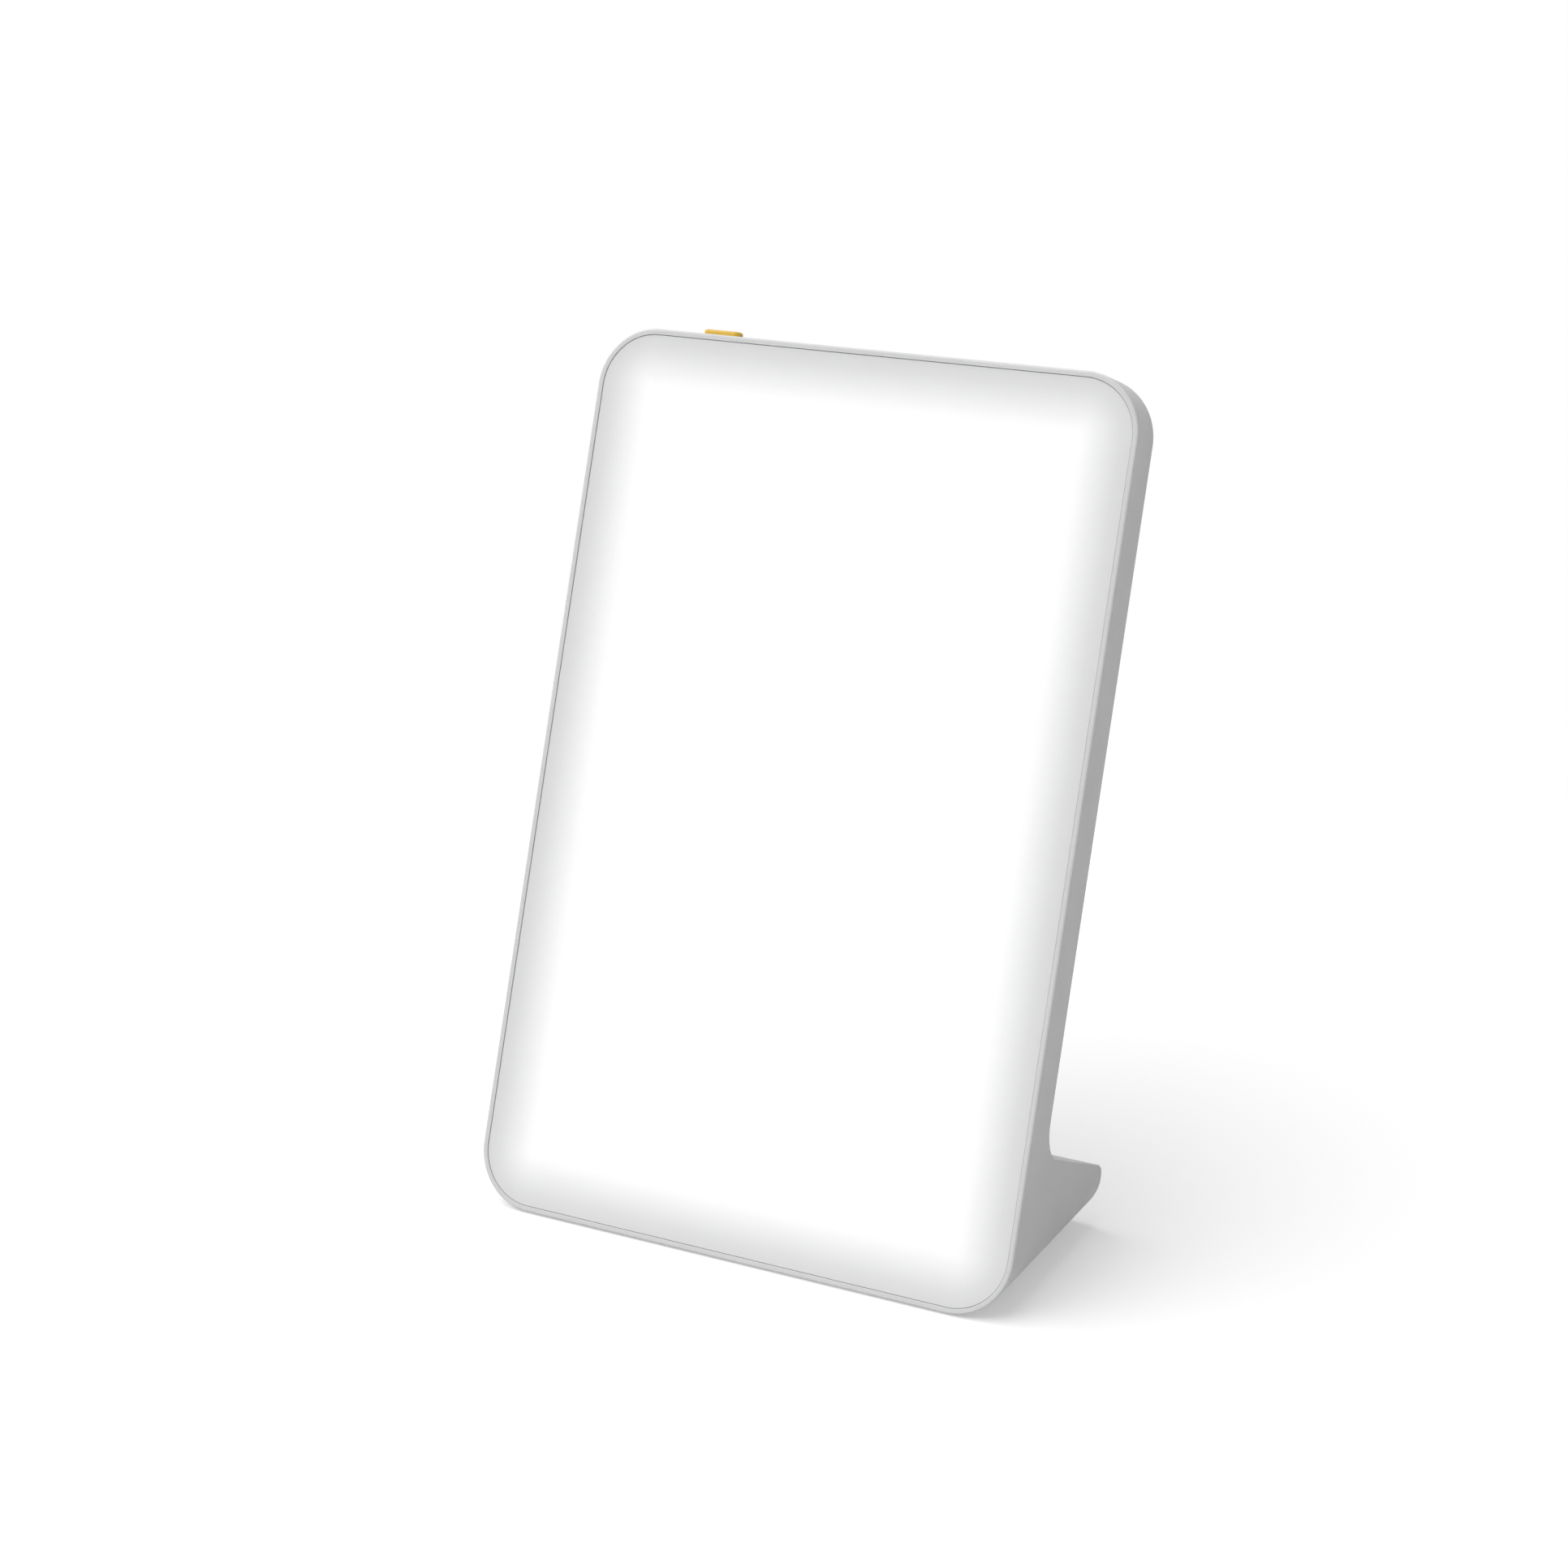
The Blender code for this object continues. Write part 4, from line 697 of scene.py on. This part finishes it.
def weld(obj):
    """Join the points that a cut leaves on each other."""
    form = bmesh.new()
    form.from_mesh(obj.data)
    bmesh.ops.remove_doubles(form, verts=form.verts, dist=WELD)
    bmesh.ops.dissolve_degenerate(form, edges=form.edges, dist=WELD)
    form.to_mesh(obj.data)
    form.free()
    return obj


def settle(obj):
    """Turn an object's modifiers into its mesh."""
    bpy.context.view_layer.update()
    evaluated = obj.evaluated_get(bpy.context.evaluated_depsgraph_get())
    mesh = bpy.data.meshes.new_from_object(evaluated)
    obj.modifiers.clear()
    obj.data = mesh
    return obj


def smooth(obj):
    """Shade smoothly, with the flat faces kept flat and the corners crisp."""
    weld(obj)
    obj.data.shade_smooth()
    obj.data.set_sharp_from_angle(angle=SHARP_ANGLE)
    weighted = obj.modifiers.new("flat faces lead", "WEIGHTED_NORMAL")
    weighted.keep_sharp = True
    return settle(obj)


def finished(obj, name, finish, body, slot, *nodes):
    """Name, paint and attach a finished piece that stands for the CAD nodes."""
    obj.name = name
    obj.data.name = name
    obj.data.materials.clear()
    obj.data.materials.append(finish)
    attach(obj, body)
    if nodes:
        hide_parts(*nodes)
    return obj


# Geometry Nodes

class Recipe(Graph):
    """A Geometry Nodes tree with named sizes, ending in Realize Instances and Set Material."""

    def __init__(self, name, sizes, counts=(), shape=None):
        super().__init__(bpy.data.node_groups.new(name, "GeometryNodeTree"))
        self.new_socket("Geometry", "INPUT", "NodeSocketGeometry")
        self.new_socket("Geometry", "OUTPUT", "NodeSocketGeometry")
        for size in sizes:
            self.new_socket(size, "INPUT", "NodeSocketFloat")
        for count in counts:
            self.new_socket(count, "INPUT", "NodeSocketInt")
        if shape:
            self.new_socket(shape, "INPUT", "NodeSocketObject")
        self.given = self.tree.nodes.new("NodeGroupInput")
        self.result = self.tree.nodes.new("NodeGroupOutput")

    def new_socket(self, name, way, kind):
        self.tree.interface.new_socket(name, in_out=way, socket_type=kind)

    def __getitem__(self, name):
        return Signal(self, self.given.outputs[name])

    def finish(self, geometry, paint):
        real = self.add("GeometryNodeRealizeInstances", {}, {"Geometry": geometry})
        painted = self.add("GeometryNodeSetMaterial", {}, {"Geometry": real, "Material": paint})
        self.tree.links.new(painted.link, self.result.inputs["Geometry"])

    def run(self, name, mesh, values):
        """Evaluate the tree on a mesh, as a plain mesh object."""
        obj = linked(name, mesh)
        step = obj.modifiers.new(name, "NODES")
        step.node_group = self.tree
        for item in self.tree.interface.items_tree:
            if item.name in values:
                step[item.identifier] = values[item.name]
        return settle(obj)


def grid_recipe(name, shape, paint):
    """Copies of a shape in rows and columns."""
    tree = Recipe(name, ("Column pitch", "Row pitch"), ("Columns", "Rows"), "Shape")
    grid = tree.add("GeometryNodeMeshGrid", {}, {
        "Size X": tree["Column pitch"] * (tree["Columns"] - 1),
        "Size Y": tree["Row pitch"] * (tree["Rows"] - 1),
        "Vertices X": tree["Columns"], "Vertices Y": tree["Rows"]})
    part = tree.add("GeometryNodeObjectInfo", {}, {"Object": tree["Shape"]}, "Geometry")
    tree.finish(tree.add("GeometryNodeInstanceOnPoints", {}, {"Points": grid, "Instance": part}), paint)
    return tree


def seat_recipe(name, paint):
    """A copy of a shape on each point, turned about Z by a seeded angle of up to the named turn."""
    tree = Recipe(name, ("Turn",), ("Seed",), "Shape")
    part = tree.add("GeometryNodeObjectInfo", {}, {"Object": tree["Shape"]}, "Geometry")
    chance = tree.add("FunctionNodeRandomValue", {"data_type": "FLOAT"},
                      {2: 0.0, 3: tree["Turn"], "Seed": tree["Seed"]}, 1)
    angle = tree.add("ShaderNodeCombineXYZ", {}, {"Z": chance})
    tree.finish(tree.add("GeometryNodeInstanceOnPoints", {}, {
        "Points": tree["Geometry"], "Instance": part, "Rotation": angle}), paint)
    return tree


def points_mesh(name, places, height):
    mesh = bpy.data.meshes.new(name)
    mesh.from_pydata([(x, y, height) for x, y in places], [], [])
    return mesh


# Pieces

def envelope(walls):
    """The casing's form with its walls moved in, as the part's source makes it."""
    side = walls["side"]
    radius = CORNER_RADIUS - side
    half = HALF_WIDTH - side
    amounts = [walls[key] for key in ("bottom", "foot rear", "foot top", "panel rear", "top", "front")]
    form = straight("envelope", inset(side_corners(), amounts), SIDE_FRAME, -HALF_WIDTH - OVERRUN,
                    HALF_WIDTH + OVERRUN, SMALL_ARC_STEPS)
    reach = PANEL_LENGTH + FOOT_LENGTH
    lower = rounded(rectangle(-half, half, walls["bottom"] / RISE_UP, reach, radius))
    lower = [(x, rise * RISE_UP) for x, rise in lower]
    upper = rectangle(-half, half, -OVERRUN, PANEL_LENGTH - walls["top"], 0, radius)
    lower_corners = stacked("lower corners", [(lower, -reach), (lower, reach)], FRONT_FRAME)
    upper_corners = straight("upper corners", upper, PANEL_FRAME, -reach, reach)
    return combine(form, "INTERSECT", lower_corners, upper_corners)


def casing(skin):
    """One moulding: rim, side walls and foot, hollow inside, with its openings."""
    solid = dict.fromkeys(("bottom", "foot rear", "foot top", "panel rear", "top", "front", "side"), 0)
    shell = envelope(solid)
    rolled = shell.modifiers.new("rolled edges", "BEVEL")
    rolled.width = EDGE_RADIUS
    rolled.segments = EDGE_STEPS
    rolled.limit_method = "ANGLE"
    rolled.angle_limit = SHARP_ANGLE
    settle(shell)
    hollow = envelope({"bottom": BOTTOM_WALL, "foot rear": WALL, "foot top": WALL, "top": WALL, "side": WALL,
                       "panel rear": PANEL_THICK - REAR_LEDGE_FRONT, "front": LEDGE_BACK})
    window = straight("window", inset(front_corners(), WALL + LEDGE_WIDTH), PANEL_FRAME,
                      -LEDGE_BACK - OVERRUN, OVERRUN)
    rebate = flared("rebate", inset(front_corners(), WALL), PANEL_FRAME, -LEDGE_FRONT, 0, RIM_LIP_RADIUS)
    rear_window = straight("rear window", cover_corners(REAR_LEDGE_WIDTH), PANEL_FRAME,
                           -PANEL_THICK - OVERRUN, OVERRUN - REAR_LEDGE_FRONT)
    combine(shell, "DIFFERENCE", hollow, window, rebate)
    shell.modifiers.new("split ring faces", "TRIANGULATE")
    combine(shell, "DIFFERENCE", rear_window)
    back_frame = PANEL_FRAME @ Matrix.Translation((0, 0, -PANEL_THICK)) @ Matrix.Rotation(math.pi, 4, "Y")
    recess = flared("recess", cover_corners(0), back_frame, -PANEL_THICK + REAR_LEDGE_BACK, 0,
                    COVER_EDGE_RADIUS)
    opening = straight("opening", base_corners(BASE_LIP_WIDTH), FLOOR_FRAME, -OVERRUN, BOTTOM_WALL + OVERRUN)
    under_frame = FLOOR_FRAME @ Matrix.Rotation(math.pi, 4, "Y")
    under = flared("under recess", base_corners(0), under_frame, -BASE_THICK - GAP, 0, BASE_EDGE_RADIUS,
                   SMALL_ARC_STEPS)
    combine(shell, "DIFFERENCE", recess, opening, under)
    rear_frame = FRONT_FRAME @ Matrix.Translation((0, 0, -FOOT_LENGTH)) @ Matrix.Rotation(math.pi, 4, "Y")
    tube = straight("well tube", round_hole(0, JACK_CENTRE, WELL_RADIUS + WELL_WALL), rear_frame,
                    -WELL_DEPTH - WELL_WALL, -WALL / 2, SMALL_ARC_STEPS)
    combine(shell, "UNION", tube)
    well = flared("well", round_hole(0, JACK_CENTRE, WELL_RADIUS), rear_frame, -WELL_DEPTH, 0,
                  WELL_LIP_RADIUS, SMALL_ARC_STEPS)
    hole = straight("well hole", round_hole(0, JACK_CENTRE, WELL_HOLE_RADIUS), rear_frame,
                    -WELL_DEPTH - WELL_WALL - OVERRUN, OVERRUN, SMALL_ARC_STEPS)
    hole_outline = stadium(BUTTON_LENGTH + 2 * BUTTON_CLEARANCE, BUTTON_DEPTH + 2 * BUTTON_CLEARANCE)
    slot = flared("button slot", hole_outline, BUTTON_FRAME, -WALL - OVERRUN, 0, RIM_LIP_RADIUS,
                  SMALL_ARC_STEPS)
    combine(shell, "DIFFERENCE", well, hole, slot)
    return finished(smooth(shell), "casing_shell", skin, "lamp", "casing", "outer_housing")


def diffuser(skin):
    corners = inset(front_corners(), WALL + DIFFUSER_SEAM)
    front = -DIFFUSER_SET_BACK
    sheet = pillowed("diffuser", corners, PANEL_FRAME, front - DIFFUSER_THICK, front, DIFFUSER_EDGE_RADIUS,
                     DIFFUSER_EDGE_RADIUS)
    return finished(smooth(sheet), "diffuser_sheet", skin, "lamp", "diffuser", "diffuser_panel")


def rear_cover(skin):
    """The thin rear cover, with rows of round-ended vents and sunk screw seats."""
    cover = pillowed("cover", inset(cover_corners(0), GAP), PANEL_FRAME, -PANEL_THICK, -COVER_FRONT,
                     COVER_EDGE_RADIUS, 0)
    outside = Matrix.Rotation(math.pi, 4, "Y")
    back_frame = PANEL_FRAME @ Matrix.Translation((0, 0, -PANEL_THICK)) @ outside
    for x, rise in cover_screw_places():
        seat = flared("seat", round_hole(-x, rise, COUNTERBORE_RADIUS), back_frame, -COUNTERBORE_DEPTH, 0,
                      VENT_LIP_RADIUS, SMALL_ARC_STEPS)
        hole = straight("pilot", round_hole(-x, rise, PILOT_RADIUS), back_frame, -COVER_THICK - OVERRUN,
                        OVERRUN, SMALL_ARC_STEPS)
        combine(cover, "DIFFERENCE", seat, hole)
    slot = flared("slot", stadium(VENT_LENGTH, VENT_HEIGHT), Matrix.Identity(4), -COVER_THICK - OVERRUN, 0,
                  VENT_LIP_RADIUS, SMALL_ARC_STEPS)
    rows = grid_recipe("vent rows", slot, skin)
    for share in VENT_RISE_SHARES:
        vents = rows.run("vents", bpy.data.meshes.new("vents"), {
            "Column pitch": VENT_PITCH, "Row pitch": VENT_ROW_PITCH, "Columns": VENT_COLUMNS,
            "Rows": VENT_ROWS, "Shape": slot})
        vents.data.transform(back_frame @ Matrix.Translation((0, share * PANEL_LENGTH, 0)))
        combine(cover, "DIFFERENCE", vents)
    bpy.data.objects.remove(slot)
    return finished(smooth(cover), "rear_cover_moulding", skin, "lamp", "cover", "rear_cover")


def base_plate(skin):
    """The plate that closes the foot, with sunk screw seats and pockets for the rubber feet."""
    under_frame = FLOOR_FRAME @ Matrix.Rotation(math.pi, 4, "Y")
    plate = pillowed("base", inset(base_corners(0), GAP), FLOOR_FRAME, 0, BASE_THICK, BASE_EDGE_RADIUS, 0)
    for x, back in base_screw_places():
        seat = flared("seat", round_hole(-x, back, COUNTERBORE_RADIUS), under_frame, -COUNTERBORE_DEPTH, 0,
                      VENT_LIP_RADIUS, SMALL_ARC_STEPS)
        hole = straight("pilot", round_hole(-x, back, PILOT_RADIUS), under_frame, -BASE_THICK - OVERRUN,
                        OVERRUN, SMALL_ARC_STEPS)
        combine(plate, "DIFFERENCE", seat, hole)
    for x, back in foot_places():
        pocket = flared("pocket", round_hole(-x, back, RUBBER_RADIUS + GAP), under_frame, -RUBBER_POCKET, 0,
                        VENT_LIP_RADIUS, SMALL_ARC_STEPS)
        combine(plate, "DIFFERENCE", pocket)
    return finished(smooth(plate), "base_plate_moulding", skin, "lamp", "cover", "base_plate")


def rubber_feet(skin):
    """Four turned pads, rounded where they meet the table."""
    height = RUBBER_PROUD + RUBBER_POCKET - GAP
    edge = RUBBER_EDGE_RADIUS
    profile = [(0, 0), *arc(RUBBER_RADIUS - edge, edge, edge, -90, 0),
               *arc(RUBBER_RADIUS - edge, height - edge, edge, 0, 90), (0, height)]
    pad = turned("pad", profile)
    pads = seat_recipe("foot pads", skin).run("pads", points_mesh("pads", foot_places(), -RUBBER_PROUD), {
        "Turn": 0.0, "Seed": TURN_SEED, "Shape": pad})
    bpy.data.objects.remove(pad)
    pads.data.transform(FLOOR_FRAME)
    nodes = [f"rubber_foot_{index}" for index in range(1, len(foot_places()) + 1)]
    return finished(smooth(pads), "rubber_foot_pads", skin, "lamp", "rubber", *nodes)


def screw_shape():
    """A pan-head screw with a cross recess and its head up."""
    high = SCREW_HEAD_HEIGHT
    edge = high / 3 * 2
    profile = [(0, SCREW_SHANK_RADIUS - SCREW_LENGTH - SCREW_SHANK_RADIUS / 2),
               (SCREW_SHANK_RADIUS, SCREW_SHANK_RADIUS - SCREW_LENGTH), (SCREW_SHANK_RADIUS, 0),
               (SCREW_HEAD_RADIUS, 0), *arc(SCREW_HEAD_RADIUS - edge, high - edge, edge, 0, 90),
               (0, high)]
    screw = turned("screw", profile, SCREW_SIDES)
    half = SCREW_RECESS_LENGTH / 2
    wide = SCREW_RECESS_WIDTH / 2
    deep = high - SCREW_RECESS_DEPTH
    for length, width in ((half, wide), (wide, half)):
        floor_length = length * SCREW_RECESS_FLOOR_SHARE
        floor_width = width * SCREW_RECESS_FLOOR_SHARE
        floor = rounded(rectangle(-floor_length, floor_length, -floor_width, floor_width), 1)
        mouth = rounded(rectangle(-length, length, -width, width), 1)
        rings = [(floor, deep), (mouth, high), (mouth, high + OVERRUN)]
        combine(screw, "DIFFERENCE", stacked("recess", rings, Matrix.Identity(4)))
    return screw


def casing_screws(skin):
    """The screws of the rear cover and of the base plate, each turned by its own angle."""
    screw = screw_shape()
    recipe = seat_recipe("seated screws", skin)
    down = Matrix.Rotation(math.pi, 4, "Y")
    sets = []
    for name, places, place, seat in (
            ("cover_screw", cover_screw_places(), PANEL_FRAME, COUNTERBORE_DEPTH - GAP - PANEL_THICK),
            ("base_screw", base_screw_places(), FLOOR_FRAME, COUNTERBORE_DEPTH - GAP)):
        mesh = points_mesh(name, [(-x, y) for x, y in places], -seat)
        seated = recipe.run(name, mesh, {"Turn": math.pi / 2, "Seed": TURN_SEED, "Shape": screw})
        seated.data.transform(place @ down)
        nodes = [f"{name}_{index}" for index in range(1, len(places) + 1)]
        sets.append(finished(smooth(seated), name + "_set", skin, "lamp", "steel", *nodes))
    bpy.data.objects.remove(screw)
    return sets


def power_button(skin):
    """The pill-shaped cap, with the flange and post that hold it under the top wall."""
    flange_top = -WALL - GAP
    flange_low = flange_top - FLANGE_THICK
    cap = pillowed("cap", stadium(BUTTON_LENGTH, BUTTON_DEPTH), BUTTON_FRAME, flange_low, BUTTON_PROUD, 0,
                   BUTTON_EDGE_RADIUS, SMALL_ARC_STEPS)
    half = BUTTON_LENGTH / 2 + FLANGE_REACH
    flange = straight("flange", rectangle(-half, half, -BUTTON_DEPTH / 2, BUTTON_DEPTH / 2), BUTTON_FRAME,
                      flange_low, flange_top, 1)
    wide = POST_WIDTH / 2
    post = straight("post", rectangle(-wide, wide, -wide, wide), BUTTON_FRAME, flange_low - POST_LENGTH,
                    flange_low + FLANGE_THICK / 2, 1)
    combine(cap, "UNION", flange, post)
    return finished(smooth(cap), "power_button_cap", skin, "button", "button", "power_button")


def inlet(body_skin, pin_skin):
    """The round power inlet behind its well, with a rounded centre pin."""
    rear_frame = FRONT_FRAME @ Matrix.Translation((0, 0, -FOOT_LENGTH)) @ Matrix.Rotation(math.pi, 4, "Y")
    front = -WELL_DEPTH - WELL_WALL - GAP
    wide = JACK_WIDTH / 2
    block = rectangle(-wide, wide, JACK_CENTRE - JACK_HEIGHT / 2, JACK_CENTRE + JACK_HEIGHT / 2,
                      VENT_LIP_RADIUS, VENT_LIP_RADIUS)
    body = pillowed("jack", block, rear_frame, front - JACK_LENGTH, front, 0, VENT_LIP_RADIUS,
                    SMALL_ARC_STEPS)
    bore = flared("bore", round_hole(0, JACK_CENTRE, JACK_BORE_RADIUS), rear_frame, front - JACK_BORE_DEPTH,
                  front, VENT_LIP_RADIUS, SMALL_ARC_STEPS)
    combine(body, "DIFFERENCE", bore)
    finished(smooth(body), "inlet_socket", body_skin, "lamp", "black_plastic", "dc_jack")
    radius = JACK_PIN_RADIUS
    pin = turned("pin", [(0, 0), (radius, 0), *arc(0, JACK_PIN_LENGTH - radius, radius, 0, 90)],
                 PIN_SIDES)
    root = front - JACK_BORE_DEPTH + GAP
    pin.data.transform(rear_frame @ Matrix.Translation((0, JACK_CENTRE, root)))
    finished(smooth(pin), "inlet_pin", pin_skin, "lamp", "brass", "dc_jack_pin")


def paint_nodes(finishes):
    """Give every CAD node that still shows the finish of its slot."""
    for name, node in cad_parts.items():
        if node.hide_render:
            continue
        for start, finish in finishes:
            if name.startswith(start):
                for slot in node.material_slots:
                    slot.material = finish
                break


set_camera()
set_sky()
set_studio()

shell_plastic = moulded_plastic("casing_plastic", (0.665, 0.667, 0.672))
cover_plastic = moulded_plastic("cover_plastic", (0.60, 0.602, 0.607), 0.56, 0.0006, 0.00003)
black_moulding = plain_moulding("black_moulding", (0.022, 0.022, 0.023), 0.42)
screw_steel = worked_metal("zinc_plated_steel", (0.62, 0.63, 0.65), 0.30)

casing(shell_plastic)
diffuser(lit_opal())
rear_cover(cover_plastic)
base_plate(cover_plastic)
rubber_feet(soft_rubber())
casing_screws(screw_steel)
power_button(button_plastic())
inlet(black_moulding, worked_metal("inlet_brass", (0.80, 0.60, 0.27), 0.26))

white_moulding = plain_moulding("white_coated_sheet", (0.90, 0.90, 0.90), 0.5)
paint_nodes([
    ("diffuser_gasket", plain_moulding("gasket_foam", (0.80, 0.80, 0.79), 0.85, 0.0004, 0.00006)),
    ("reflector_tray", white_moulding),
    ("led_strip", led_board()),
    ("strip_jumper", plain_moulding("red_lead_sleeve", (0.48, 0.03, 0.02), 0.45)),
    ("led_cable", plain_moulding("red_cable_sleeve", (0.45, 0.035, 0.025), 0.48)),
    ("switch_cable", plain_moulding("grey_cable_sleeve", (0.28, 0.28, 0.29), 0.48)),
    ("heat_spreader", worked_metal("spreader_aluminium", (0.76, 0.77, 0.78), 0.36, (1, 12, 12))),
    ("spreader_screw", screw_steel),
    ("switch_screw", screw_steel),
    ("board_screw", screw_steel),
    ("switch_board", circuit_board()),
    ("driver_board", circuit_board()),
    ("capacitor", plain_moulding("capacitor_sleeve", (0.16, 0.18, 0.24), 0.3)),
    ("board_connector", white_moulding),
    ("", black_moulding),
])

bpy.context.scene.view_settings.view_transform = "Standard"
